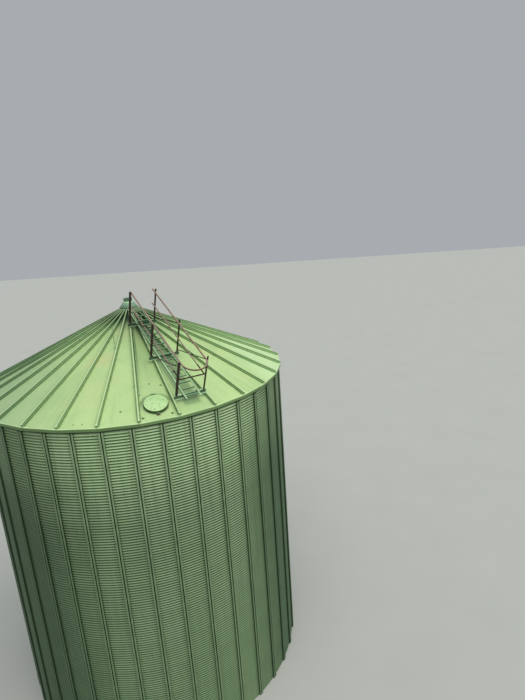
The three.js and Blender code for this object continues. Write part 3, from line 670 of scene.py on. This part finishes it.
brown_paint = brown_finish("dull_brown_paint_with_rust", "#665043", "#2a1e17")
rail_paint = brown_finish("worn_brown_paint_on_rail", "#a38c7d", "#4a352b")
mid_rail_paint = brown_finish("scuffed_brown_paint_on_mid_rail", "#9d8a7f", "#5e4b43", grimy_shaded_foot)
zinc_coating = zinc_finish()
bolt_paint = bolt_finish()
print("materials:", [material.name for material in bpy.data.materials])

# %% [markdown]
# ## Solids that stay, and dressed copies
#
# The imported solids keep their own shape, so they only get a finish. A steel section looks cut out of
# paper while its edges are perfectly sharp, though. For those a copy is taken: its doubled points are
# merged, its flat faces joined, and a Bevel modifier rounds each edge by a millimetre or two.

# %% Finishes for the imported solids
FINISHES = {
    "roof_sector": roof_enamel, "wall_segment": wall_enamel, "base_ring": zinc_coating,
    "peak_ring": zinc_coating, "peak_cap": peak_green, "hatch_collar": collar_green,
    "hatch_lid": lid_green, "roof_ladder": ladder_green, "cross_member": ladder_green,
    "conduit": section_green, "eye_bracket": section_green,
}


def finish_of(name):
    """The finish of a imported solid, by how its name starts. The others are brown."""
    return next((finish for start, finish in FINISHES.items() if name.startswith(start)), brown_paint)


for name, node in nodes.items():
    for slot in node.material_slots:
        slot.material = finish_of(name)
print("finished solids:", len(nodes))

# %% Making pieces
made_triangles = {}


def smooth_by_angle(mesh, degrees=35):
    """Smooths the faces and keeps the edges that turn more than the angle sharp."""
    mesh.polygons.foreach_set("use_smooth", [True] * len(mesh.polygons))
    mesh.set_sharp_from_angle(angle=math.radians(degrees))


def new_piece(mesh, material, slot, *stands_for, body="silo"):
    """Gives the mesh an object, a finish and its body, and hides the solids that it stands for."""
    piece = bpy.data.objects.new(mesh.name, mesh)
    bpy.context.scene.collection.objects.link(piece)
    mesh.materials.clear()
    mesh.materials.append(material)
    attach(piece, body)
    if stands_for:
        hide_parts(*stands_for)
    made_triangles[mesh.name] = sum(len(face.vertices) - 2 for face in mesh.polygons)
    return piece


def mesh_from(name, built, place=None, degrees=35):
    """Ends a bmesh: normals outward, placed, smoothed."""
    bmesh.ops.remove_doubles(built, verts=built.verts, dist=0.01 * MM)
    bmesh.ops.recalc_face_normals(built, faces=built.faces)
    if place is not None:
        built.transform(place)
    mesh = bpy.data.meshes.new(name)
    built.to_mesh(mesh)
    built.free()
    smooth_by_angle(mesh, degrees)
    return mesh


print("ready to make pieces")

# %% Dressed copies and skins between rings
def dressed_copy(node_name, slot, edge):
    """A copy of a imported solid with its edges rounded; the edge is in mm."""
    built = bmesh.new()
    built.from_mesh(nodes[node_name].data)
    built.transform(nodes[node_name].matrix_world)
    bmesh.ops.remove_doubles(built, verts=built.verts, dist=0.05 * MM)
    bmesh.ops.dissolve_limit(built, angle_limit=math.radians(1), verts=built.verts, edges=built.edges)
    piece = new_piece(mesh_from(node_name + "_dressed", built), finish_of(node_name), slot, node_name)
    rounding = piece.modifiers.new("rounded_edges", "BEVEL")
    rounding.width = edge * MM
    rounding.segments = 2
    rounding.limit_method = "ANGLE"
    rounding.angle_limit = math.radians(40)


def skin(built, rings):
    """Joins rings of points by faces, each ring to the next, and closes both ends."""
    for ring, following in zip(rings, rings[1:]):
        for i in range(len(ring)):
            j = (i + 1) % len(ring)
            built.faces.new((ring[i], ring[j], following[j], following[i]))
    built.faces.new(rings[0][::-1])
    built.faces.new(rings[-1])


print("ready to dress:", len(nodes), "solids")

# %% [markdown]
# ## Corrugated wall sheets
#
# A wall sheet is a rule more than a shape: its radius swings by 18 mm with every 76.2 mm of height. It
# could be pushed out by a modifier, but a Geometry Nodes tree that rolls a flat grid round the axis gives
# the exact wave and keeps its sizes as named inputs. The wave fades into a plain band at the top, where
# the roof sits on the wall. Each ring leans in by a sheet's thickness, so that it laps the one below.

# %% Starting, ending and running a tree
def tree_with_inputs(name, counts, sizes):
    """An empty tree, the function that adds its nodes, and its inputs, one of them the material."""
    tree = bpy.data.node_groups.new(name, "GeometryNodeTree")
    tree.interface.new_socket("Geometry", in_out="OUTPUT", socket_type="NodeSocketGeometry")
    groups = (("Geometry", ["Geometry"]), ("Int", counts), ("Float", sizes), ("Material", ["Material"]))
    for kind, names in groups:
        for socket in names:
            tree.interface.new_socket(socket, in_out="INPUT", socket_type="NodeSocket" + kind)
    add = node_adder(tree)
    return tree, add, add("NodeGroupInput").node.outputs


def end_tree(add, geometry, material):
    """Makes instances real, sets the material and ends the tree."""
    real = add("GeometryNodeRealizeInstances", geometry)
    add("NodeGroupOutput", add("GeometryNodeSetMaterial", {"Geometry": real, "Material": material}))


def run_tree(name, tree, values, mesh=None):
    """Sets the tree's inputs by their sockets' identifiers, runs it and gives back a plain mesh."""
    holder = bpy.data.objects.new(name, mesh or bpy.data.meshes.new(name + "_start"))
    bpy.context.scene.collection.objects.link(holder)
    modifier = holder.modifiers.new(name, "NODES")
    modifier.node_group = tree
    for item in tree.interface.items_tree:
        if item.in_out == "INPUT" and item.name in values:
            modifier[item.identifier] = values[item.name]
    bpy.context.view_layer.update()
    seen = holder.evaluated_get(bpy.context.evaluated_depsgraph_get())
    made = bpy.data.meshes.new_from_object(seen)
    made.name = name
    holder.modifiers.remove(modifier)
    bpy.data.objects.remove(holder)
    return made


print("ready to build trees")

# %% A tree that rolls a grid into a corrugated sheet
def corrugated_sheet_tree():
    """A grid whose X runs round the axis and whose Y runs up the wall."""
    sizes = ["Start", "Sweep", "Radius", "Height", "Pitch", "Depth", "Ring", "Lap", "Plain band"]
    tree, add, given = tree_with_inputs("corrugated_sheet", ["Columns", "Rows"], sizes)
    grid = add("GeometryNodeMeshGrid", 1.0, 1.0, given["Columns"], given["Rows"])
    spot = add("parts", add("GeometryNodeInputPosition")).node.outputs
    angle = add("MULTIPLY_ADD", add("ADD", spot["X"], 0.5), given["Sweep"], given["Start"])
    up = add("MULTIPLY", add("ADD", spot["Y"], 0.5), given["Height"])
    phase = add("MULTIPLY", add("DIVIDE", up, given["Pitch"]), 2 * math.pi)
    swing = add("MULTIPLY", add("COSINE", phase), given["Depth"])
    from_top = add("SUBTRACT", given["Height"], up)
    fade = add("mask", add("DIVIDE", from_top, given["Plain band"]), 0.95, 1.15, 0, 0.5)
    lean = add("MULTIPLY", add("FRACT", add("DIVIDE", up, given["Ring"])), given["Lap"])
    bulge = add("SUBTRACT", add("MULTIPLY", swing, fade), lean)
    radius = add("ADD", bulge, given["Radius"])
    x = add("MULTIPLY", add("COSINE", angle), radius)
    y = add("MULTIPLY", add("SINE", angle), radius)
    rolled = add("GeometryNodeSetPosition", {"Geometry": grid, "Position": add("place", x, y, up)})
    end_tree(add, rolled, given["Material"])
    return tree


sheet_tree = corrugated_sheet_tree()
print("sheet tree:", len(sheet_tree.nodes), "nodes")

# %% The ten columns of wall sheets
SHEET_COLUMNS = 12
ROWS_PER_WAVE = 6
SHEET_THICKNESS = 2 * MM
STIFFENER_FOOT = 19 * MM
PLAIN_BAND = 190 * MM
for i in range(SEGMENT_COUNT):
    sweep = math.radians(360 / SEGMENT_COUNT)
    sheet = run_tree(f"wall_sheets_{i + 1:02d}", sheet_tree, {
        "Columns": SHEET_COLUMNS + 1,
        "Rows": RING_COUNT * WAVES_PER_RING * ROWS_PER_WAVE + 1,
        "Start": FIRST_STIFFENER + i * sweep - STIFFENER_FOOT / CREST_RADIUS,
        "Sweep": sweep,
        "Radius": WALL_RADIUS,
        "Height": WALL_HEIGHT,
        "Pitch": WAVE_PITCH,
        "Depth": WAVE_DEPTH,
        "Ring": RING_HEIGHT,
        "Lap": SHEET_THICKNESS,
        "Plain band": PLAIN_BAND,
        "Material": wall_enamel,
    })
    built = bmesh.new()
    built.from_mesh(sheet)
    bmesh.ops.solidify(built, geom=built.faces[:], thickness=SHEET_THICKNESS)
    built.to_mesh(sheet)
    built.free()
    smooth_by_angle(sheet, 60)
    new_piece(sheet, wall_enamel, "wall_paint", f"wall_segment_{i + 1:02d}")
print("wall sheets:", sum(made_triangles.values()), "triangles")

# %% [markdown]
# ## Wall stiffeners
#
# A stiffener is pressed from sheet: a groove that is bolted to the wall, with a front face and a return on
# each side of it. The bends are round, with a radius of about twice the sheet. The section is drawn as a
# centre line, its corners are rounded, and it is thickened to both sides. Each post is spliced from
# lengths of two rings. Forty copies round the axis come from one tree, which the bolts use again.

# %% A tree for copies round the axis and up the wall
def copies_tree():
    """Sets copies of a mesh out round the axis, on levels that rise and may step outwards."""
    sizes = ["Start", "Step", "Out", "Rise"]
    tree, add, given = tree_with_inputs("copies_round_axis", ["Count", "Levels"], sizes)
    points = add("GeometryNodeMeshLine", add("MULTIPLY", given["Count"], given["Levels"]))
    index = add("GeometryNodeInputIndex")
    level = add("FLOOR", add("DIVIDE", add("ADD", index, 0.5), given["Count"]))
    around = add("SUBTRACT", index, add("MULTIPLY", level, given["Count"]))
    angle = add("MULTIPLY_ADD", around, given["Step"], given["Start"])
    out = add("MULTIPLY", level, given["Out"])
    x = add("MULTIPLY", add("COSINE", angle), out)
    y = add("MULTIPLY", add("SINE", angle), out)
    spot = add("place", x, y, add("MULTIPLY", level, given["Rise"]))
    placed = add("GeometryNodeSetPosition", {"Geometry": points, "Position": spot})
    copies = add("GeometryNodeInstanceOnPoints", {
        "Points": placed, "Instance": given["Geometry"], "Rotation": add("place", 0, 0, angle),
    })
    end_tree(add, copies, given["Material"])
    return tree


round_tree = copies_tree()
print("copies tree:", len(round_tree.nodes), "nodes")

# %% The stiffener's section
SECTION_SHEET = 3 * MM
SECTION_HALF = 60 * MM
SECTION_DEPTH = 50 * MM
SECTION_RETURN = 3 * MM
GROOVE_HALF = 15 * MM
BEND_RADIUS = 7 * MM


def rounded_line(points, radius, steps=3):
    """The points of a line in a plane, with each inner corner turned into an arc."""
    line = [Vector(points[0])]
    for before, corner, after in zip(points, points[1:], points[2:]):
        corner = Vector(corner)
        back = (Vector(before) - corner).normalized()
        on = (Vector(after) - corner).normalized()
        half = back.angle(on) / 2
        reach = radius / math.tan(half)
        centre = corner + (back + on).normalized() * (radius / math.sin(half))
        first = corner + back * reach - centre
        last = corner + on * reach - centre
        turn_angle = first.angle_signed(last)
        for i in range(steps + 1):
            share = -turn_angle * i / steps
            line.append(centre + Matrix.Rotation(share, 2) @ first)
    line.append(Vector(points[-1]))
    return line


def thickened(line, thickness):
    """A closed outline, half the thickness to each side of the line."""
    left, other = [], []
    for i, point in enumerate(line):
        ahead_point = line[min(i + 1, len(line) - 1)]
        back_point = line[max(i - 1, 0)]
        direction = (ahead_point - back_point).normalized()
        normal = Vector((-direction.y, direction.x)) * (thickness / 2)
        left.append(point + normal)
        other.append(point - normal)
    return left + other[::-1]


half_sheet = SECTION_SHEET / 2
one_side = [
    (SECTION_HALF - half_sheet, SECTION_RETURN), (SECTION_HALF - half_sheet, SECTION_DEPTH - half_sheet),
    (GROOVE_HALF + half_sheet, SECTION_DEPTH - half_sheet), (GROOVE_HALF + half_sheet, half_sheet),
]
other_side = [(-across, off) for across, off in reversed(one_side)]
section = thickened(rounded_line(one_side + other_side, BEND_RADIUS), SECTION_SHEET)
print("section:", len(section), "points")

# %% Forty stiffeners in lengths of two rings
STIFFENER_TOP = WALL_HEIGHT - 35 * MM
LENGTH_RINGS = 2
SPLICE_GAP = 2 * MM


def extrude_outline(built, outline, low, high, radius):
    """Draws an outline of (across, off the wall) points up from low to high, at azimuth 0."""
    ends = [[built.verts.new((radius + off, across, z)) for across, off in outline] for z in (low, high)]
    skin(built, ends)


built = bmesh.new()
low = 0.0
while low < STIFFENER_TOP:
    high = min(low + LENGTH_RINGS * RING_HEIGHT, STIFFENER_TOP)
    extrude_outline(built, section, low + SPLICE_GAP / 2, high - SPLICE_GAP / 2, CREST_RADIUS)
    low = high
one_stiffener = mesh_from("one_stiffener", built)
PER_SEGMENT = STIFFENER_COUNT // SEGMENT_COUNT
for i in range(SEGMENT_COUNT):
    posts = run_tree(f"wall_stiffeners_{i + 1:02d}", round_tree, {
        "Count": PER_SEGMENT, "Levels": 1, "Start": FIRST_STIFFENER + i * PER_SEGMENT * STIFFENER_STEP,
        "Step": STIFFENER_STEP, "Material": stiffener_green,
    }, one_stiffener)
    smooth_by_angle(posts, 30)
    new_piece(posts, stiffener_green, "wall_paint", f"wall_segment_{i + 1:02d}")
print("stiffeners:", sum(n for k, n in made_triangles.items() if "stiffeners" in k), "triangles")

# %% [markdown]
# ## Bolts
#
# A bolted silo shows thousands of heads. Each is a hexagon, 16.5 mm across its flats, with eight faces,
# because from a few metres off it is only a dot. The same tree sets them out: one to every second
# corrugation in the groove of each stiffener, and a row along each lap between the rings.

# %% Bolt heads
BOLT_RADIUS = 9.5 * MM
BOLT_HEIGHT = 7 * MM
SUNK = 2 * MM


def bolt_mesh(name, spots):
    """Hexagon heads; each spot is a place and the direction that the head points in."""
    built = bmesh.new()
    for place, out in spots:
        out = Vector(out).normalized()
        side = out.orthogonal().normalized()
        other = out.cross(side)
        rings = []
        for lift in (-SUNK, BOLT_HEIGHT):
            ring = []
            for i in range(6):
                angle = math.radians(60 * i)
                reach = side * math.cos(angle) + other * math.sin(angle)
                ring.append(built.verts.new(Vector(place) + reach * BOLT_RADIUS + out * lift))
            rings.append(ring)
        skin(built, rings)
    mesh = bpy.data.meshes.new(name)
    built.normal_update()
    built.to_mesh(mesh)
    built.free()
    return mesh


print("a bolt's head is", round(2 * BOLT_RADIUS / MM), "mm over its corners")

# %% Bolts on the wall
OUTWARD = (1, 0, 0)
BOLT_LEVELS = 65
LAP_BOLTS = 6
LAP_MARGIN = 0.17  # the share of the gap between two stiffeners that has no bolt, at each end
groove_bolt = bolt_mesh("groove_bolt", [((CREST_RADIUS + SECTION_SHEET, 0, 1.5 * WAVE_PITCH), OUTWARD)])
groove_bolts = run_tree("stiffener_bolts", round_tree, {
    "Count": STIFFENER_COUNT, "Levels": BOLT_LEVELS, "Start": FIRST_STIFFENER, "Step": STIFFENER_STEP,
    "Rise": 2 * WAVE_PITCH, "Material": bolt_paint,
}, groove_bolt)
new_piece(groove_bolts, bolt_paint, "wall_paint")

lap_spots = []
for i in range(LAP_BOLTS):
    angle = STIFFENER_STEP * (LAP_MARGIN + (1 - 2 * LAP_MARGIN) * i / (LAP_BOLTS - 1))
    outward = (math.cos(angle), math.sin(angle), 0)
    lap_spots.append((Vector(outward) * CREST_RADIUS + Vector((0, 0, RING_HEIGHT)), outward))
lap_bolts = run_tree("lap_bolts", round_tree, {
    "Count": STIFFENER_COUNT, "Levels": RING_COUNT - 1, "Start": FIRST_STIFFENER, "Step": STIFFENER_STEP,
    "Rise": RING_HEIGHT, "Material": bolt_paint,
}, bolt_mesh("lap_bolt", lap_spots))
new_piece(lap_bolts, bolt_paint, "wall_paint")
print("bolts:", made_triangles["stiffener_bolts"] + made_triangles["lap_bolts"], "triangles")

# %% [markdown]
# ## The roof
#
# Each roof sheet is turned up along its sides and down at the eave, and a channel-shaped cap is pushed
# over every pair of upturned edges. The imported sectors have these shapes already, so dressed copies are
# enough: 2 mm of rounding gives the eave and the caps the bright thin line that a folded edge shows. The
# caps are screwed from both sides, every 300 mm.

# %% Roof sectors and rib screws
for i in range(SEGMENT_COUNT):
    dressed_copy(f"roof_sector_{i + 1:02d}", "roof_paint", edge=2.0)

CAP_HALF = 22.5 * MM
SCREW_HEIGHT = 47 * MM
FIRST_SCREW = 220 * MM
SCREW_SPACING = 300 * MM
SCREW_LEVELS = 14
rib_normal = Vector((math.sin(RIB_SLOPE), 0, math.cos(RIB_SLOPE)))
on_rib = Vector((EAVE_RADIUS - FIRST_SCREW, 0, EAVE_HEIGHT + FIRST_SCREW * math.tan(RIB_SLOPE)))
lowest = on_rib + rib_normal * SCREW_HEIGHT
screw_spots = [(lowest + Vector((0, side * CAP_HALF, 0)), (0, side, 0)) for side in (-1, 1)]
rib_screws = run_tree("rib_screws", round_tree, {
    "Count": RIB_COUNT, "Levels": SCREW_LEVELS, "Start": FIRST_RIB, "Step": RIB_STEP,
    "Out": -SCREW_SPACING * math.cos(RIB_SLOPE), "Rise": SCREW_SPACING * math.sin(RIB_SLOPE),
    "Material": bolt_paint,
}, bolt_mesh("rib_screw", screw_spots))
new_piece(rib_screws, bolt_paint, "roof_paint")
print("rib screws:", made_triangles["rib_screws"], "triangles")

# %% [markdown]
# ## Round pieces
#
# The peak cap, the hatch collar and the lid are spun or rolled, so they come from a profile turned round
# an axis. Ninety-six steps keep the outline round. Small radii at each rim catch the light like a rolled
# edge does; without them the lid would look like a coin.

# %% Turning a profile
ROUND_STEPS = 96


def turned(profile, place, name, steps=ROUND_STEPS):
    """Turns a closed profile of (radius, height) points in mm round the Z axis of a place."""
    built = bmesh.new()
    rings = []
    for i in range(steps):
        angle = 2 * math.pi * i / steps
        x, y = math.cos(angle) * MM, math.sin(angle) * MM
        rings.append([built.verts.new((r * x, r * y, z * MM)) for r, z in profile])
    for i in range(steps):
        ring, following = rings[i], rings[(i + 1) % steps]
        for j in range(len(profile)):
            k = (j + 1) % len(profile)
            if profile[j][0] > 0 or profile[k][0] > 0:
                built.faces.new((ring[j], following[j], following[k], ring[k]))
    bmesh.ops.remove_doubles(built, verts=built.verts, dist=0.01 * MM)
    bmesh.ops.dissolve_degenerate(built, edges=built.edges, dist=0.01 * MM)
    return mesh_from(name, built, place)


def rolled_rim(radius, low, top, sheet, bead):
    """The outside of a sheet rim with a rounded top edge, from its lower lip up, in mm."""
    arc = [(radius - bead + bead * math.cos(math.radians(a)), top - bead + bead * math.sin(math.radians(a)))
           for a in range(0, 91, 18)]
    return [(radius - sheet, low), (radius - sheet / 2, low - sheet / 3), (radius, low), *arc]


def bolt_ring(count, out, up, place=Matrix.Identity(4), level=False):
    """Spots for a ring of bolts round the Z axis of a place, in mm. They point up, or outward if level."""
    spots = []
    for i in range(count):
        angle = math.radians(360 / count * (i + 0.5))
        outward = Vector((math.cos(angle), math.sin(angle), 0))
        spot = place @ (outward * (out * MM) + Vector((0, 0, up * MM)))
        spots.append((spot, place.to_3x3() @ (outward if level else Vector((0, 0, 1)))))
    return spots


print("a turned piece has", ROUND_STEPS, "steps")

# %% Peak cap
PEAK_BOLTS = 12
FLANGE_BOLTS_OUT = 141
SKIRT_BOLTS_OUT = 271
cap_low, cap_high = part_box("peak_cap")
seat = cap_low.z / MM
neck_top = cap_high.z / MM
eaves = seat + 30
shoulder = eaves + 150
peak_profile = [
    (266, seat), (268, seat - 0.5), (272, seat + 1), (272, seat + 8), (270, seat + 10), (270, eaves - 4),
    (267, eaves + 3), (225, eaves + 57), (190, eaves + 103), (158, shoulder - 6), (151, shoulder),
    (132, shoulder + 3), (130, shoulder + 10), (130, neck_top - 12), (134, neck_top - 8),
    (151, neck_top - 8),
    (152, neck_top - 6), (152, neck_top - 2), (151, neck_top), (126, neck_top), (124, neck_top - 2),
    (124, shoulder - 4), (150, shoulder - 6), (266, eaves - 6),
]
peak = turned(peak_profile, Matrix.Identity(4), "peak_cap_spun")
new_piece(peak, peak_green, "fittings_paint", "peak_cap")

on_flange = bolt_ring(PEAK_BOLTS, FLANGE_BOLTS_OUT, neck_top)
on_skirt = bolt_ring(PEAK_BOLTS, SKIRT_BOLTS_OUT, seat + 20, level=True)
new_piece(bolt_mesh("peak_bolts", on_flange + on_skirt), bolt_paint, "fittings_paint")
print("peak cap:", made_triangles["peak_cap_spun"], "triangles")

# %% [markdown]
# ## The hatch
#
# The roof hatch is wide enough to climb in: a collar, a lid that laps over it, a hinge on the uphill side
# and a tab for a padlock on the downhill side. The lid turns with its own body, so everything fastened to
# it rides on that body, and what is fastened to the roof rides on the silo.

# %% Collar and keeper
hatch_frame = panel_frame(HATCH_AZIMUTH) @ Matrix.Translation((0, HATCH_UP, 0))
HINGE_UP = 318
HINGE_HEIGHT = 44
COLLAR_BOLTS = 16
COLLAR_BOLTS_OUT = 283
COLLAR_SHEET = 5


def box(built, x, y, z):
    """Adds a box between pairs of x, y and z, in mm."""
    size = Vector((x[1] - x[0], y[1] - y[0], z[1] - z[0])) * MM
    middle = Vector((x[0] + x[1], y[0] + y[1], z[0] + z[1])) * (MM / 2)
    place = Matrix.Translation(middle) @ Matrix.Diagonal((*size, 1))
    bmesh.ops.create_cube(built, size=1.0, matrix=place)


def rod(built, start, end, radius, steps=20):
    """Adds a round bar between two places, in mm."""
    start, end = Vector(start) * MM, Vector(end) * MM
    run = end - start
    turn_to = run.to_track_quat("Z", "Y").to_matrix().to_4x4()
    bmesh.ops.create_cone(built, cap_ends=True, segments=steps, radius1=radius * MM, radius2=radius * MM,
                          depth=run.length, matrix=Matrix.Translation((start + end) / 2) @ turn_to)


collar_profile = [
    (254, -14), (260, -14), (260, 0.3), (301, 0.3), (302, 1.5), (302, 4), (301, 5), (266, 5), (261, 8),
    (260, 12), (260, 64), (258, 66), (256, 66), (254, 64),
]
collar = turned(collar_profile, hatch_frame, "hatch_collar_rolled")
new_piece(collar, collar_green, "fittings_paint", "hatch_collar")

built = bmesh.new()
box(built, (-56, 56), (262, 367), (0.3, 5))
for side in (-1, 1):
    box(built, sorted((side * 41, side * 49)), (HINGE_UP - 12, HINGE_UP + 12), (4, HINGE_HEIGHT + 12))
rod(built, (-58, HINGE_UP, HINGE_HEIGHT), (58, HINGE_UP, HINGE_HEIGHT), 8)
hinge_foot = mesh_from("hatch_hinge_foot", built, hatch_frame)
new_piece(hinge_foot, brown_paint, "fittings_paint", "hatch_collar")
dressed_copy("hatch_keeper", "brown_paint", edge=1.0)

collar_spots = bolt_ring(COLLAR_BOLTS, COLLAR_BOLTS_OUT, COLLAR_SHEET, hatch_frame)
new_piece(bolt_mesh("collar_bolts", collar_spots), bolt_paint, "fittings_paint")
print("collar:", made_triangles["hatch_collar_rolled"], "triangles")

# %% Lid
lid_outside = rolled_rim(295, 44, 84, 5, 8)
lid_inside = [(0, 90), (180, 86), (286, 79), (289, 76), (290, 70)]
lid_profile = [*lid_outside, (276, 85.5), (262, 86), (255, 87.5), (248, 89.5), (177, 92), (90, 94), (0, 95)]
lid = turned([*lid_profile, *lid_inside], hatch_frame, "hatch_lid_spun")
new_piece(lid, lid_green, "lid_paint", "hatch_lid", body="hatch_lid")

built = bmesh.new()
box(built, (-35, 35), (288, HINGE_UP), (HINGE_HEIGHT + 2, HINGE_HEIGHT + 12))
knuckle = turned([(8.8, -35), (15, -35), (15, 35), (8.8, 35)], Matrix.Identity(4), "knuckle", 32)
pin_height = Matrix.Translation((0, HINGE_UP * MM, HINGE_HEIGHT * MM))
knuckle.transform(pin_height @ Matrix.Rotation(math.pi / 2, 4, "Y"))
built.from_mesh(knuckle)
hinge_leaf = mesh_from("hatch_hinge_leaf", built, hatch_frame)
new_piece(hinge_leaf, brown_paint, "lid_paint", "hatch_lid", body="hatch_lid")

built = bmesh.new()
tab = [(-45, -290), (-16, -357), (16, -357), (45, -290)]
skin(built, [[built.verts.new((x * MM, y * MM, z * MM)) for x, y in tab] for z in (44, 50)])
latch = mesh_from("hatch_latch_tab", built, hatch_frame)
new_piece(latch, collar_green, "lid_paint", "hatch_lid", body="hatch_lid")
print("lid:", made_triangles["hatch_lid_spun"], "triangles")

# %% [markdown]
# ## The roof ladder and its handrail
#
# The ladder lies on three Z-shaped bars across the ribs. Posts stand on the bars, a round tube runs along
# both sides and round the foot in one bend, and a lighter tube runs halfway up. The angle sections are
# dressed copies. The tubes are swept again with twenty sides, because a bend shows its facets at once.

# %% Sections of the ladder and the handrail
ladder_nodes = [name for name in nodes if name.startswith(("roof_ladder", "cross_member"))]
rail_nodes = [name for name in nodes if name.startswith(("handrail_post", "brace"))]
for name in ladder_nodes:
    dressed_copy(name, "fittings_paint", edge=1.2)
for name in rail_nodes:
    dressed_copy(name, "brown_paint", edge=1.2)
print("dressed sections:", len(ladder_nodes) + len(rail_nodes))

# %% Tubes
ladder_frame = panel_frame(LADDER_AZIMUTH)


def tube(name, path, z, radius, place, steps=20):
    """Sweeps a round section along a line of (x, y) points at one height z, in mm."""
    built = bmesh.new()
    points = [Vector((x, y, z)) for x, y in path]
    rings = []
    for i, point in enumerate(points):
        back = (point - points[i - 1]).normalized() if i else (points[1] - point).normalized()
        on = (points[i + 1] - point).normalized() if i + 1 < len(points) else back
        side = (back + on).normalized().cross(Vector((0, 0, 1)))
        stretch = 1 / max(0.3, math.cos(back.angle(on) / 2))
        ring = []
        for j in range(steps):
            angle = 2 * math.pi * j / steps
            reach = side * (math.cos(angle) * radius * stretch) + Vector((0, 0, math.sin(angle) * radius))
            ring.append(built.verts.new((point + reach) * MM))
        rings.append(ring)
    skin(built, rings)
    return mesh_from(name, built, place, 50)


FIRST_MEMBER = 505
RAIL_END = 4010
RAIL_REACH = 325.7
RAIL_HEIGHT = 1175
RAIL_RADIUS = 21
MID_REACH = 329.7
MID_HEIGHT = 700
MID_RADIUS = 17
bend = [
    (RAIL_REACH * math.cos(math.radians(a)), FIRST_MEMBER + RAIL_REACH * math.sin(math.radians(a)))
    for a in range(180, 361, 6)
]
rail_path = [(-RAIL_REACH, RAIL_END), *bend, (RAIL_REACH, RAIL_END)]
rail = tube("handrail_tube", rail_path, RAIL_HEIGHT, RAIL_RADIUS, ladder_frame)
new_piece(rail, rail_paint, "brown_paint", "handrail")

mid_path = [(-MID_REACH, RAIL_END), (-MID_REACH, FIRST_MEMBER), (MID_REACH, FIRST_MEMBER),
            (MID_REACH, RAIL_END)]
mid = tube("mid_rail_tube", mid_path, MID_HEIGHT, MID_RADIUS, ladder_frame)
new_piece(mid, mid_rail_paint, "brown_paint", "mid_rail")
print("tubes:", made_triangles["handrail_tube"] + made_triangles["mid_rail_tube"], "triangles")

# %% [markdown]
# ## Small fittings
#
# A thin conduit runs down beside a rib to a small box, and a rod stands in a plate higher up on the left.
# Both are only a few pixels wide, but the roof looks empty without them. The flat braces between the posts
# are held by one bolt at each end.

# %% Conduit and eye rod
dressed_copy("conduit", "fittings_paint", edge=1.0)
dressed_copy("eye_bracket", "fittings_paint", edge=0.8)
MEMBER_SPACING = 1695
FIRST_POST = 530
BRACE_FACE = 402.3
BRACE_ENDS = ((0, 1110), (1, 225))  # posts further on, and the height there
brace_bolts = []
for i in range(2):
    for side in (-1, 1):
        for further, height in BRACE_ENDS:
            spot = Vector((side * BRACE_FACE, FIRST_POST + MEMBER_SPACING * (i + further), height)) * MM
            brace_bolts.append((ladder_frame @ spot, ladder_frame.to_3x3() @ Vector((side, 0, 0))))
new_piece(bolt_mesh("brace_bolts", brace_bolts), bolt_paint, "brown_paint")
print("brace bolts:", len(brace_bolts))

# %% The visual model's box
low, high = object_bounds()
print("added triangles:", sum(made_triangles.values()))
